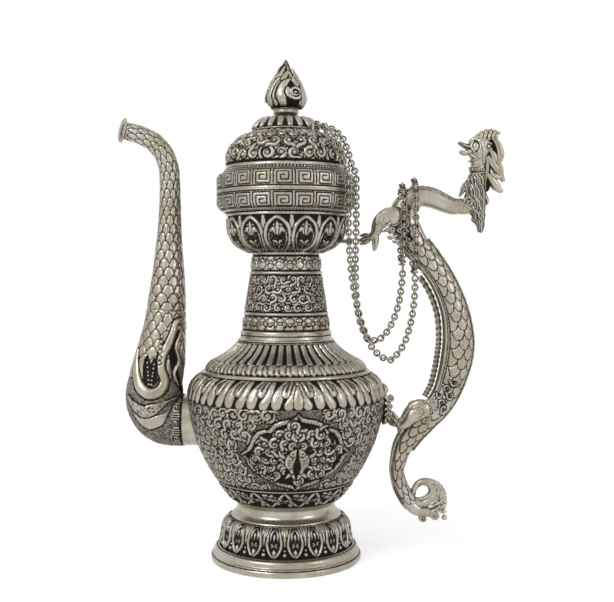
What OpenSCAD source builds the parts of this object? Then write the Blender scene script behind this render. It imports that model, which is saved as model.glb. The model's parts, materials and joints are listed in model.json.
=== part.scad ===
// Embossed silver ewer: lotus foot, raised belly, fluted shoulder, tall neck,
// meander drum with a lift-off lid, scaled spout, dragon handle and a link chain.
// Millimetres, +Z up, origin at the centre of the underside of the foot.
// The spout points to -X, the handle to +X.

/* [Foot] */
// Radius of the foot's rolled rim
foot_r = 45; // [40:0.5:52]
// Height of the plain flared flange
flange_h = 18; // [14:0.5:24]
// Radius of the lotus band where it sits on the flange
lotus_r = 37.6; // [35:0.2:39]
// Height of the lotus band
lotus_h = 11; // [8:0.5:14]
// Radius of the plain collar under the belly
collar_r = 30; // [27:0.5:32]
// Height of the plain collar
collar_h = 4; // [3:0.5:8]
// Number of petals round the foot
foot_petals = 20; // [12:1:28]

/* [Belly] */
// Largest radius of the belly
belly_r = 59; // [55:0.5:64]
// Height of the belly
belly_h = 79; // [70:1:90]
// Height of the widest line above the belly's floor
belly_wide_h = 65; // [55:1:68]
// Radius of the belly's upper opening and of the shoulder ring
shoulder_r = 50; // [47:0.5:53]
// Thickness of the silver sheet
sheet = 1.2; // [0.8:0.1:1.8]

/* [Shoulder and neck] */
// Height of the shoulder ring
shoulder_ring_h = 2.5; // [2:0.25:4]
// Height of the fluted cone
cone_h = 21.5; // [18:0.5:26]
// Radius of the neck at its root
neck_root_r = 26.8; // [25:0.2:29]
// Radius of the neck under the cup
neck_top_r = 20.2; // [18:0.2:22]
// Height of the neck
neck_h = 49; // [42:1:60]
// Height of the lower neck ring above the neck's root
ring_low_at = 10; // [8:0.5:14]
// Height of the upper neck ring above the neck's root
ring_high_at = 36; // [30:0.5:38]

/* [Cup and drum] */
// Height of the lotus cup
cup_h = 21; // [18:0.5:26]
// Rim radius of the lotus cup
cup_r = 35; // [33:0.5:36]
// Gap between two petals of the cup, degrees
petal_gap = 2.4; // [1:0.2:5]
// Number of petals round the cup
cup_petals = 13; // [8:1:20]
// Radius of the mouth drum and of the lid's skirt
drum_r = 41.7; // [40:0.1:44]
// Height of the mouth drum
drum_h = 12.5; // [11:0.5:18]

/* [Lid] */
// Height of the lid's skirt
skirt_h = 13; // [11:0.5:18]
// Depth of the sleeve inside the drum
sleeve_depth = 11; // [8:0.5:11]
// Radial play of the sleeve in the drum
sleeve_play = 0.25; // [0.1:0.05:0.4]
// Radius at the foot of the dome
dome_r = 35.6; // [34:0.2:37]
// Height of the dome
dome_h = 20.5; // [17:0.5:25]
// Radius of the petal crown
crown_r = 20; // [18:0.2:22]
// Height of the petal crown
crown_h = 7; // [5:0.5:9]
// Height of the finial's stem
stem_h = 4; // [3:0.5:6]
// Largest radius of the finial bud
bud_r = 11.8; // [10:0.2:14]
// Height of the finial bud
bud_h = 32; // [26:0.5:38]

/* [Spout] */
// Height of the spout's collar above the ground
spout_z = 83.5; // [80:0.5:86]
// Radius of the spout's collar
spout_collar_r = 15.8; // [14:0.2:16]
// Width of the meander collar
spout_collar_w = 7.5; // [6:0.5:9]
// Distance from the belly's widest line to the plane between collar and bulb
spout_out = 10; // [9:0.5:13]
// Radius of the lip at the spout's tip
lip_r = 7.5; // [6.5:0.1:9]
// Width of the lip
lip_w = 3.5; // [2.5:0.25:5]
// Wall of the spout
spout_wall = 1.2; // [0.8:0.1:1.8]

/* [Dragon handle] */
// Half thickness of the dragon's body from side to side
body_half = 7; // [5.5:0.25:9]
// Width of the ribbed belly strip
strip_w = 4; // [3:0.25:5]
// Height of the ridge on the back
ridge_h = 1.6; // [1:0.1:2.5]
// Gap between soldered parts with curved faces
seat_gap = 0.3; // [0.2:0.05:0.4]

/* [Chain] */
// Diameter of the chain's wire
chain_wire = 0.95; // [0.8:0.05:1.1]
// Play between two links
link_play = 0.15; // [0.1:0.01:0.2]
// Half the distance between the two strands on the lid
strand_half = 5; // [4.9:0.05:5.2]

/* [Hidden] */

$fn = 96;
SILVER = [0.68, 0.65, 0.58];
DARK = [0.45, 0.42, 0.36];

// Heights of the joints between the stacked pieces
z_lotus = flange_h;
z_collar = z_lotus + lotus_h;
z_belly = z_collar + collar_h;
z_shoulder = z_belly + belly_h;
z_cone = z_shoulder + shoulder_ring_h;
z_neck = z_cone + cone_h;
z_cup = z_neck + neck_h;
bead_h = 2;
z_drum = z_cup + cup_h + bead_h;
z_skirt = z_drum + drum_h;
lid_bead_h = 3;
z_dome = z_skirt + skirt_h + lid_bead_h;
z_crown = z_dome + dome_h;
z_stem = z_crown + crown_h;
z_bud = z_stem + stem_h;

// ---------------------------------------------------------------- helpers

// Catmull-Rom point at t between p1 and p2; works on rows of any length
function blend4(p0, p1, p2, p3, t) =
    0.5 * (2 * p1 + (p2 - p0) * t + (2 * p0 - 5 * p1 + 4 * p2 - p3) * t * t
        + (3 * p1 - p0 - 3 * p2 + p3) * t * t * t);

// A smooth run of rows through the given rows, with n steps between two of them
function smooth(rows, n) = let (last = len(rows) - 1) concat(
    [for (i = [0:last - 1], k = [0:n - 1])
        blend4(rows[max(i - 1, 0)], rows[i], rows[i + 1], rows[min(i + 2, last)], k / n)],
    [rows[last]]);

// An outline between two radii and two heights from a shape given in shares of both
function outline(shape, r0, r1, z0, h, n = 3) =
    smooth([for (s = shape) [r0 + (r1 - r0) * s[0], z0 + h * s[1]]], n);

// The same outline moved inwards by the wall; the ends keep their height
function inset(pts, t) = let (last = len(pts) - 1) [for (i = [0:last])
    let (d = pts[min(i + 1, last)] - pts[max(i - 1, 0)], u = d / norm(d))
        i == 0 || i == last ? [pts[i][0] - t, pts[i][1]] : pts[i] + t * [-u[1], u[0]]];

// A turned sheet whose outer face follows the outline
module turned(pts, t) {
    inner = inset(pts, t);
    rotate_extrude() polygon(concat(pts, [for (i = [len(inner) - 1:-1:0]) inner[i]]));
}

// A ring with rounded outer edge, from r_in to r_out, h high
module band(r_in, r_out, z, h) {
    round_r = min(h / 2, (r_out - r_in) / 2);
    rotate_extrude() polygon(concat([[r_in, z]],
        [for (a = [-90:22.5:90]) [r_out - round_r + round_r * cos(a), z + h / 2 + h / 2 * sin(a)]],
        [[r_in, z + h]]));
}

// A shell of one sheet under n raised petals that stand apart by a narrow gap
module petal_shell(pts, n, gap) {
    turned(inset(pts, sheet * 0.6), sheet);
    inner = inset(pts, sheet);
    for (i = [0:n - 1]) rotate(i * 360 / n + gap / 2) rotate_extrude(angle = 360 / n - gap)
        polygon(concat(pts, [for (k = [len(inner) - 1:-1:0]) inner[k]]));
}

// Cross rings of a limb. A row is [x, y, z, half width in the plane, half width along Y].
// first and last give the direction of the end rings where a seat needs it.
function unit(v) = v / norm(v);
function spot(row) = [row[0], row[1], row[2]];
function heading(rows, i, first, last) = let (end = len(rows) - 1)
    i == 0 && first != undef ? unit(first) : i == end && last != undef ? unit(last)
        : unit(spot(rows[min(i + 1, end)]) - spot(rows[max(i - 1, 0)]));
function limb_rings(rows, sides, first, last) = [for (i = [0:len(rows) - 1])
    let (c = rows[i], t = heading(rows, i, first, last), side = unit([0, 1, 0] - t[1] * t), up = cross(side, t))
        for (k = [0:sides - 1]) let (w = 360 * k / sides)
            spot(c) + c[3] * cos(w) * up + c[4] * sin(w) * side];

// Faces between the rings of a skin whose rings have the given number of sides
function skin_faces(rings, sides, flip = false) = [for (m = [0:rings - 2], k = [0:sides - 1])
    let (a = m * sides + k, b = m * sides + (k + 1) % sides, f = [a, b, b + sides, a + sides])
        flip ? [f[3], f[2], f[1], f[0]] : f];

// A solid limb along the rows, closed at both ends
module limb(rows, sides = 10, n = 3, first, last) {
    path = smooth(rows, n);
    count = len(path);
    polyhedron(points = limb_rings(path, sides, first, last),
        faces = concat(skin_faces(count, sides),
            [[for (k = [sides - 1:-1:0]) k]],
            [[for (k = [0:sides - 1]) (count - 1) * sides + k]]), convexity = 6);
}

// A limb with a bore: the skin, the same skin narrower by the wall, and two end rings
module pipe(path, wall, sides, first, last) {
    count = len(path);
    thin = [for (p = path) [p[0], p[1], p[2], p[3] - wall, p[4] - wall]];
    base = count * sides;
    polyhedron(points = concat(limb_rings(path, sides, first, last), limb_rings(thin, sides, first, last)),
        faces = concat(skin_faces(count, sides),
            [for (f = skin_faces(count, sides, true)) [for (v = f) v + base]],
            [for (k = [0:sides - 1]) let (j = (k + 1) % sides) [j, k, k + base, j + base]],
            [for (k = [0:sides - 1]) let (j = (k + 1) % sides, e = base - sides)
                [e + k, e + j, e + j + base, e + k + base]]), convexity = 8);
}

// ---------------------------------------------------------------- foot

rim_roll = 2;
flange_shape = [[0.12, 0.3], [0.33, 0.45], [0.55, 0.6], [0.8, 0.8], [1, 1]];
lotus_shape = [[0, 0], [0.01, 0.35], [0.25, 0.65], [0.62, 0.9], [0.8, 1]];

module foot_flange() color(SILVER) {
    rim = [for (a = [-90:30:60]) [foot_r - rim_roll + rim_roll * cos(a), rim_roll * (1 + sin(a))]];
    side = outline(flange_shape, foot_r, lotus_r, 0, flange_h);
    turned(concat(rim, side), sheet * 1.5);
}

module lotus_foot() color(SILVER)
    petal_shell(outline(lotus_shape, lotus_r, collar_r - sheet, z_lotus, lotus_h, 2), foot_petals, petal_gap * 1.3);

module foot_collar() color(SILVER)
    turned([[collar_r, z_collar], [collar_r - 0.4, z_collar + collar_h / 2], [collar_r, z_belly]],
        sheet * 2);

// ---------------------------------------------------------------- belly

lower_power = 1.9;
belly_steps = 14;
z_wide = z_belly + belly_wide_h;
function belly_low(t) = collar_r + (belly_r - collar_r) * (1 - pow(1 - t, lower_power));
function belly_outline(grow = 0) = concat(
    [for (i = [0:belly_steps]) let (t = i / belly_steps) [belly_low(t) + grow, z_belly + belly_wide_h * t]],
    [for (a = [15:15:90]) [shoulder_r + grow + (belly_r - shoulder_r) * cos(a),
        z_wide + (belly_h - belly_wide_h) * sin(a)]]);
spout_bore = spout_collar_r - 2 * spout_wall;

module belly() color(SILVER) difference() {
    union() {
        turned(belly_outline(), sheet);
        translate([0, 0, z_belly]) cylinder(r = collar_r - sheet / 2, h = sheet);
    }
    translate([-belly_r - 5, 0, spout_z]) rotate([0, 90, 0]) cylinder(r = spout_bore - 2, h = 30);
}

module shoulder_ring() color(SILVER) band(shoulder_r - 5, shoulder_r + 0.8, z_shoulder, shoulder_ring_h);

// ---------------------------------------------------------------- shoulder and neck

cone_r = 47.5;
cone_shape = [[0, 0], [0.09, 0.14], [0.31, 0.3], [0.54, 0.43], [0.75, 0.58], [0.92, 0.77], [1, 1]];

module shoulder_cone() color(SILVER)
    turned(outline(cone_shape, cone_r, neck_root_r, z_cone, cone_h), sheet);

module neck_root_ring() color(SILVER) band(neck_root_r - sheet, neck_root_r + 0.9, z_neck, 2.5);

z_tube = z_neck + 2.5;
neck_shape = [[0, 0], [0.2, 0.18], [0.45, 0.4], [0.72, 0.62], [0.93, 0.85], [1, 1]];
function neck_at(z) = neck_root_r + (neck_top_r - neck_root_r)
    * lookup((z - z_tube) / (z_cup - z_tube), [for (s = neck_shape) [s[1], s[0]]]);

module neck_tube() color(SILVER)
    turned(outline(neck_shape, neck_root_r - 0.4, neck_top_r, z_tube, z_cup - z_tube), sheet);

module neck_ring(at) color(SILVER) {
    inner = neck_at(z_neck + at) + seat_gap;
    band(inner, inner + 1.4, z_neck + at - 1.2, 2.4);
}
module neck_ring_low() neck_ring(ring_low_at);
module neck_ring_high() neck_ring(ring_high_at);

// ---------------------------------------------------------------- cup and drum

cup_shape = [[0, 0], [0.3, 0.09], [0.62, 0.2], [0.85, 0.4], [0.96, 0.65], [1, 1]];

module lotus_cup() color(SILVER)
    petal_shell(outline(cup_shape, neck_top_r + 1, cup_r, z_cup, cup_h), cup_petals, petal_gap);

module cup_bead_ring() color(SILVER) band(cup_r - 4, cup_r + 1, z_drum - bead_h, bead_h);

drum_flare_h = 5;
module mouth_drum() color(SILVER)
    turned([[cup_r, z_drum], [cup_r + 3, z_drum + 0.8], [drum_r - 1.2, z_drum + 3],
        [drum_r, z_drum + drum_flare_h], [drum_r, z_skirt]], sheet);

// ---------------------------------------------------------------- lid

sleeve_r = drum_r - sheet - sleeve_play;
sleeve_up = 3.5;
module lid_sleeve() color(SILVER) translate([0, 0, z_skirt - min(sleeve_depth, drum_h - drum_flare_h - 0.5)])
    difference() {
        cylinder(r = sleeve_r, h = min(sleeve_depth, drum_h - drum_flare_h - 0.5) + sleeve_up);
        translate([0, 0, -1]) cylinder(r = sleeve_r - 1, h = sleeve_depth + sleeve_up + 2);
    }

shoulder_drop = 4.5;
module lid_skirt() color(SILVER)
    turned([[drum_r, z_skirt], [drum_r, z_skirt + skirt_h - shoulder_drop],
        [drum_r - 1.2, z_skirt + skirt_h - shoulder_drop + 1.8],
        [dome_r + 2, z_skirt + skirt_h - 1], [dome_r - 0.5, z_skirt + skirt_h]], sheet);

module lid_bead_ring() color(SILVER)
    band(dome_r - 3, dome_r + 0.6, z_skirt + skirt_h, lid_bead_h);

dome_shape = [[0, 0], [0.01, 0.25], [0.08, 0.48], [0.23, 0.66], [0.5, 0.85], [1, 1]];
module lid_dome() color(SILVER)
    turned(outline(dome_shape, dome_r, crown_r - 4, z_dome, dome_h), sheet);

crown_shape = [[0, 0], [0.05, 0.3], [0.5, 0.7], [1, 1]];
crown_brow_r = 15.4;
stud_r = 2;
module lid_crown() color(SILVER) difference() {
    rotate_extrude() polygon(concat([[0, z_crown]],
        outline(crown_shape, crown_r, crown_brow_r, z_crown, crown_h), [[0, z_stem]]));
    translate([0, 0, z_crown - 1]) cylinder(r = stud_r + 0.1, h = crown_h + 2);
}

bud_shape = [[0.64, 0], [0.6, 0.06], [0.85, 0.13], [1, 0.25], [0.98, 0.33], [0.87, 0.46],
    [0.72, 0.58], [0.53, 0.7], [0.34, 0.82], [0.17, 0.92], [0.06, 1]];

washer_h = 1.5;
module finial_stem() color(SILVER) {
    rotate_extrude() polygon([[0, z_stem], [6.5, z_stem], [5.6, z_stem + stem_h / 2],
        [7.2, z_bud], [0, z_bud]]);
    translate([0, 0, z_crown - washer_h - 1]) cylinder(r = stud_r, h = crown_h + washer_h + 2);
}

module finial_bud() color(SILVER) rotate_extrude()
    polygon(concat([[0, z_bud]], outline(bud_shape, 0, bud_r, z_bud, bud_h, 2), [[0, z_bud + bud_h]]));

module finial_washer() color(DARK) translate([0, 0, z_crown - washer_h]) difference() {
    cylinder(r = crown_r - 4 - sheet - seat_gap, h = washer_h);
    translate([0, 0, -1]) cylinder(r = stud_r + 0.1, h = washer_h + 2);
}

// The staple stands on the dome beside the crown; the strands hang from its bar
lid_turn = -30;
staple_r = crown_r + 3;
staple_rise = 5;
staple_wire = 1.4;
staple_post = 1.9;
staple_half = strand_half + 2.5;
dome_line = outline(dome_shape, dome_r, crown_r - 4, z_dome, dome_h);
dome_rows = [for (i = [len(dome_line) - 1:-1:0]) dome_line[i]];
staple_foot = seat_gap + lookup(norm([staple_r - staple_post / 2, staple_half]), dome_rows);
module lid_staple() color(SILVER) rotate(lid_turn) {
    for (s = [-1, 1]) translate([staple_r, s * staple_half, staple_foot])
        cylinder(d = staple_post, h = staple_rise + staple_wire / 4, $fn = 24);
    translate([staple_r, -staple_half - staple_post, staple_foot + staple_rise]) rotate([-90, 0, 0])
        cylinder(d = staple_wire, h = 2 * (staple_half + staple_post), $fn = 24);
}

// ---------------------------------------------------------------- spout

spout_x = belly_r + spout_out;
saddle_depth = 14;
saddle_bore_depth = 19;

module along_spout(x0, x1, r) translate([-x1, 0, spout_z]) rotate([0, 90, 0])
    cylinder(r = r, h = x1 - x0);
module belly_room() rotate_extrude() polygon(concat([[0, z_belly]], belly_outline(seat_gap), [[0, z_shoulder]]));

module spout_saddle() color(SILVER) difference() {
    along_spout(belly_r - saddle_depth, spout_x - spout_collar_w, spout_collar_r - 0.4);
    along_spout(belly_r - saddle_bore_depth, spout_x, spout_collar_r - 2);
    belly_room();
}
module spout_collar() color(SILVER) difference() {
    along_spout(spout_x - spout_collar_w, spout_x, spout_collar_r);
    along_spout(spout_x - spout_collar_w - 1, spout_x + 1, spout_collar_r - 2);
}

// Rows of the bulb and the tube: [out from the collar, up from its middle, radius]
bulb_line = [[0, 0, 15.8], [4, 1.5, 16.3], [8, 5, 16.8], [10.5, 11, 17.2], [10.5, 18.5, 17.2],
    [9.2, 29, 15.4], [6.2, 43.5, 14], [4.2, 58, 12.1]];
tube_line = [[4.2, 58, 12.1], [2.9, 72.5, 10.9], [2, 87, 9.4], [1.6, 101.5, 7.9], [1.1, 116, 6.7],
    [0.8, 130.5, 6], [0.9, 144.5, 5.7], [1.6, 152.5, 5.6], [4.2, 160, 5.5], [8.7, 166, 5.4],
    [14.5, 170, 5.2], [20.5, 172.5, 5], [26.5, 174.1, 4.85]];
bulb_grow = spout_collar_r - bulb_line[0][2];
function spout_rows(line, grow) = [for (i = [0:len(line) - 1])
    let (p = line[i], r = p[2] + grow * (len(line) - 1 - i) / (len(line) - 1))
        [-spout_x - p[0], 0, spout_z + p[1], r, r]];
seam = [0.13, 0, 1];
tip_tilt = 14;
tip_dir = [-cos(tip_tilt), 0, sin(tip_tilt)];

module spout_bulb() color(SILVER)
    pipe(smooth(spout_rows(bulb_line, bulb_grow), 2), spout_wall, 24, [-1, 0, 0], seam);
module spout_tube() color(SILVER)
    pipe(smooth(spout_rows(tube_line, 0), 2), spout_wall, 20, seam, tip_dir);

module spout_lip() color(SILVER) {
    tip = spout_rows(tube_line, 0)[len(tube_line) - 1];
    translate(spot(tip)) rotate([0, tip_tilt - 90, 0]) difference() {
        rotate_extrude() polygon([[0, 0], [tip[3] + 0.3, 0], [tip[3] + 0.8, lip_w * 0.4],
            [lip_r, lip_w * 0.6], [lip_r, lip_w * 0.85], [lip_r - 0.8, lip_w], [0, lip_w]]);
        translate([0, 0, -1]) cylinder(r = tip[3] - spout_wall, h = lip_w + 2);
    }
}

// ---------------------------------------------------------------- dragon handle

// Middle line of the dragon from the head to the tail:
// [out from the belly's wall, up from the belly's widest line, half width in the plane].
// Heights are drawn for drawn_rise between that line and the rim of the cup.
drawn_rise = 108;
spine = [[47.3, 115, 4.4], [41.5, 114.5, 4.9], [36, 116.5, 5.4], [29, 119.5, 6], [22, 120.5, 6.2],
    [15.5, 117.5, 7.2], [12, 110.5, 8.5], [13, 102, 8.8], [19.5, 90, 8], [29.5, 78, 7.2],
    [36.7, 66, 7.2], [42.2, 51.5, 7.8], [44.5, 36.5, 8.8], [44, 25, 9.1], [41.5, 13.8, 8.5],
    [37.5, 2.5, 7.6], [32.3, -6, 7.2], [25, -13.5, 7], [17, -22, 6.9], [11.5, -30.5, 6],
    [9, -39, 4.9], [8, -46, 4.3], [10, -54.5, 4.6], [14, -62, 4.9], [17, -66.5, 4.6]];
stretch = (z_cup + cup_h - z_wide) / drawn_rise;
function handle_z(up) = z_wide + up * stretch;
function at_handle(p) = concat([belly_r + p[0], p[1], handle_z(p[2])], [for (k = [3:len(p) - 1]) p[k]]);
function along(rows) = [for (r = rows) at_handle(r)];
// Half thickness as a share of body_half, from the head to the tail
function thick(i) = body_half * lookup(i, [[0, 0.66], [3, 0.8], [6, 1], [15, 1], [20, 0.75], [24, 0.6]]);

// Way the body ends and the tail piece soldered to it begins
tail_way = [3, 0, -4.5];
module dragon_body() color(SILVER)
    limb(along([for (i = [0:len(spine) - 1]) [spine[i][0], 0, spine[i][1], spine[i][2], thick(i)]]), 14, 2,
        last = tail_way);

// A strip on one edge of the body between two spine points, with ribs across it
function edge_row(i, side, out) = let (a = spine[i - 1], b = spine[i + 1], c = spine[i],
    t = unit([b[0] - a[0], b[1] - a[1]]))
        [c[0] + side * t[1] * (c[2] + out), 0, c[1] - side * t[0] * (c[2] + out)];
module edge_strip(first, last, side, height, half, ribs) {
    rows = smooth([for (i = [first:last]) edge_row(i, side, seat_gap + height / 2)], ribs);
    limb(along([for (i = [0:len(rows) - 1])
        concat(rows[i], [height / 2 * (i % 2 == 0 ? 1 : 0.72), half])]), 4, 1);
}
module belly_strip() color(SILVER) edge_strip(9, 16, 1, strip_w, 3.2, 7);
module back_ridge() color(SILVER) edge_strip(8, 19, -1, ridge_h, 0.9, 6);

skull = [[56.5, 0, 135, 4.6, 4.6], [57, 0, 142, 5.4, 5.6], [57.5, 0, 149, 6.5, 6.6],
    [60, 0, 155, 6.4, 6.6], [63.5, 0, 160, 4, 5]];
horn_high = [[51.2, -1.5, 151.5, 2, 2], [47.5, -1.5, 151.5, 1.5, 1.5], [44.5, -1.5, 152.7, 0.4, 0.4]];
horn_low = [[50.7, -1.5, 147.6, 2, 2], [47.5, -1.5, 146.2, 1.4, 1.4], [45.3, -1.5, 146.6, 0.4, 0.4]];
jaw_upper = [[66.2, 0, 151.6, 2.4, 3], [67.8, 0, 148, 3, 3.4], [69.5, 0, 142, 2.6, 2.8],
    [70.5, 0, 135, 2, 2], [72.5, 0, 129, 1, 1]];
jaw_lower = [[62.5, 0, 135.7, 1.4, 2], [66.5, 0, 131.5, 1.6, 2.2], [69.5, 0, 125.5, 1.5, 1.8],
    [72, 0, 121.5, 0.8, 0.8]];
mane = [[56.3, 0, 134.7, 4.6, 4.6], [55.5, 0, 128, 6.2, 6], [55.3, 0, 120, 7.6, 7],
    [55.6, 0, 111, 6.6, 6], [57, 0, 104, 3.6, 3.6], [58.8, 0, 98.4, 0.8, 0.8]];
module dragon_head() color(SILVER) limb(along(skull), 12, 2);
module dragon_horns() color(DARK) {
    limb(along(horn_high), 6, 2, [-1, 0, 0]);
    limb(along(horn_low), 6, 2, [-1, 0, 0]);
}
module dragon_jaw() color(SILVER) {
    limb(along(jaw_upper), 8, 2, [1, 0, 0]);
    limb(along(jaw_lower), 8, 2, [1, 0, 0]);
}
module dragon_mane() color(DARK) limb(along(mane), 10, 2);

// A leg lies against the flank of the body; side is -1 for the near and 1 for the far one.
// A row is [out, beyond the flank, up, half width in the plane, half width along Y].
module leg(rows, side) color(SILVER)
    limb(along([for (r = rows) [r[0], side * (body_half + r[1]), r[2], r[3], r[4]]]), 8, 2);
fore_leg = [[4.5, -1.3, 107, 3.2, 1.8], [1, -0.9, 107, 4, 2], [-3, 0, 101, 3.4, 1.8],
    [-6.5, 0, 96, 2.2, 1.6], [-12, -1, 94, 1.6, 1.6], [-16.6, -2, 93.6, 1.4, 1.4]];
hind_leg = [[25, 0.4, -7, 3.6, 1.8], [20, 0.6, -9, 4.6, 2], [14.5, 0.4, -13.5, 3, 1.8],
    [10.5, -0.5, -15.5, 2, 1.6], [7, -1.6, -14.5, 1.7, 1.6], [5.4, -2, -12.5, 1.4, 1.4]];
module fore_leg_near() leg(fore_leg, -1);
module fore_leg_far() leg(fore_leg, 1);
module hind_leg_near() leg(hind_leg, -1);
module hind_leg_far() leg(hind_leg, 1);

tail_curl = [[17.2, 0, -66.8, 4.2, 4.1], [19.2, 0, -69, 4.2, 4.1], [24, 0, -69.3, 4.5, 4.2],
    [31, 0, -67, 4.6, 4.4], [35.5, 0, -62, 4.2, 4],
    [35, 0, -56, 3.4, 3.6], [29.5, 0, -53.7, 2.8, 3], [24.5, 0, -54.7, 2.4, 2.6],
    [21.8, 0, -57.7, 1.8, 2.2], [23, 0, -59.8, 0.8, 1.2]];
module tail_finial() color(SILVER) limb(along(tail_curl), 10, 2, tail_way);

// ---------------------------------------------------------------- mounts of the handle

bracket_half = 11;
strap = 1.6;
cup_line = outline(cup_shape, neck_top_r + 1, cup_r, z_cup, cup_h);
strap_line = [for (i = [7:len(cup_line) - 1]) cup_line[i]];
paw = at_handle(fore_leg[len(fore_leg) - 1]);
bar_r = 1.6;
bar_x = paw[0] - 2 - bar_r;
module cup_bracket() color(DARK) {
    inner = inset(strap_line, -seat_gap);
    outer = inset(strap_line, -seat_gap - strap);
    rotate(-bracket_half) rotate_extrude(angle = 2 * bracket_half)
        polygon(concat(inner, [for (i = [len(outer) - 1:-1:0]) outer[i]]));
    translate([bar_x, -body_half, paw[2]]) rotate([-90, 0, 0]) cylinder(r = bar_r, h = 2 * body_half, $fn = 32);
    translate([lookup(paw[2], [for (p = outer) [p[1], p[0]]]) - 0.4, -3, paw[2] - 1])
        cube([bar_x - lookup(paw[2], [for (p = outer) [p[1], p[0]]]) + 0.4, 6, 2]);
}
module bracket_rivets() color(SILVER)
    for (s = [-7, 7], z = [13, 18]) rotate([0, 0, s]) translate([cup_r + seat_gap + strap, 0, z_cup + z])
        rotate([0, 90, 0]) cylinder(r = 1.1, h = 0.9, $fn = 24);
module belly_rosette() color(DARK) difference() {
    translate([belly_r - 3, 0, handle_z(-7)]) rotate([0, 90, 0]) cylinder(r = 9, h = 6.5);
    belly_room();
}

// ---------------------------------------------------------------- chain

// Round links: flat ones stand in the plane of the run at its corners, the others cross
// it at the middle of each side, so a run can bend only about the centre of a flat link.
function steps(dirs, i = 0) = i == 0 ? [0, 0] : steps(dirs, i - 1) + [cos(dirs[i - 1]), sin(dirs[i - 1])];
function angle_of(v) = atan2(v[1], v[0]);
function side_of(dirs, a, b) = norm(b - a) / norm(steps(dirs, len(dirs)));
function turn_of(dirs, a, b) = angle_of(b - a) - angle_of(steps(dirs, len(dirs)));
function turned_by(v, w) = [v[0] * cos(w) - v[1] * sin(w), v[0] * sin(w) + v[1] * cos(w)];
function corner(dirs, a, b, i) = a + side_of(dirs, a, b) * turned_by(steps(dirs, i), turn_of(dirs, a, b));
function link_r(side) = (side / 2 + chain_wire + link_play) / 2;

module link(side) rotate_extrude($fn = 32) translate([link_r(side), 0]) circle(d = chain_wire, $fn = 16);
module flat_link(p, side) translate([p[0], 0, p[1]]) rotate([90, 0, 0]) link(side);
// Links of a run from corner i0 to corner i1; ends says which end corners carry a flat link
module run(dirs, a, b, i0, i1, start_flat = false, end_flat = false) {
    side = side_of(dirs, a, b);
    for (i = [i0 + (start_flat ? 0 : 1):i1 - (end_flat ? 0 : 1)]) flat_link(corner(dirs, a, b, i), side);
    for (i = [i0:i1 - 1]) {
        m = (corner(dirs, a, b, i) + corner(dirs, a, b, i + 1)) / 2;
        translate([m[0], 0, m[1]]) rotate([0, -dirs[i] - turn_of(dirs, a, b), 0]) link(side);
    }
}

// Run over the dome, in an upright plane through the pot's axis
over_dome = [-24, -46, -66, -74, -63];
bar_hold = chain_wire / 2 + staple_wire / 2 + link_play;
run_top = [staple_r + cos(-20), staple_foot + staple_rise + sin(-20)];
clear_r = drum_r + seat_gap + 3;
run_low = [clear_r, z_skirt + 9.5];
drop_sides = 4;
drop_side = side_of(over_dome, run_top, run_low);
drop_end = run_low[1] - drop_sides * drop_side;

// Loop over the dragon's neck: [out, top above the widest line, sides of each upright leg]
loop_outer = [18.2, 131, 4];
loop_inner = [11, 127.8, 3];
function loop_half(risers) = concat([35, 60], [for (i = [1:risers]) 90], [120, 145]);
loop_side = 8.2;
function loop_low(l) = handle_z(l[1]) - loop_side * steps(loop_half(l[2]), l[2] + 4)[1];
function loop_hook(l) = [belly_r + l[0], -loop_side * cos(35), loop_low(l) + loop_side * sin(35)];

// The hanging runs: [side of the lid run, loop, directions of the sides, first and second bend corner]
strand_outer = [-1, loop_outer, [-89, -88, -86, -84, -82, -79, -75, -70, -62, -48, -18, 40, 58, 68, 75,
    80, 85, 88], 9, 14];
strand_inner = [1, loop_inner, [-90, -90, -89, -88, -86, -84, -80, -73, -60, -20, 40, 58, 68, 76, 82,
    86, 89], 8, 13];
function start_xy(s) = turned_by([clear_r, s[0] * strand_half], lid_turn);
function end_point(s) = loop_hook(s[1]) - [0, 0, loop_side / 2];
function plan(s) = [end_point(s)[0], end_point(s)[1]] - start_xy(s);
function run_start(s) = [0, drop_end];
function run_end(s) = [norm(plan(s)), end_point(s)[2]];

module hanging(s, i0, i1, start_flat) color(SILVER)
    translate([start_xy(s)[0], start_xy(s)[1], 0]) rotate(angle_of(plan(s)))
        run(s[2], run_start(s), run_end(s), i0, i1, start_flat, false);

module lid_strand(s) color(SILVER) {
    rotate(lid_turn) translate([0, s[0] * strand_half, 0])
        run(over_dome, run_top, run_low, 0, len(over_dome), true, false);
    twist = angle_of(plan(s)) - lid_turn;
    last_side = max(drop_side, side_of(s[2], run_start(s), run_end(s)));
    for (j = [0:2 * drop_sides])
        translate([start_xy(s)[0], start_xy(s)[1], run_low[1] - j * drop_side / 2])
            rotate(lid_turn + twist * j / (2 * drop_sides) + 90 * (j % 2)) rotate([90, 0, 0])
                link(j == 2 * drop_sides ? last_side : drop_side);
}

module loop(s) color(SILVER) {
    l = s[1];
    half = loop_half(l[2]);
    n = len(half);
    low = [0, loop_low(l)];
    top = [0, handle_z(l[1])];
    for (m = [0, 1]) translate([belly_r + l[0], 0, 0]) mirror([0, m, 0]) rotate(-90)
        run(half, low, top, 0, n, m == 0, m == 0);
    e = end_point(s);
    translate([e[0], e[1], 0]) rotate(angle_of(plan(s))) flat_link([0, e[2]], loop_side);
}

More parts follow.
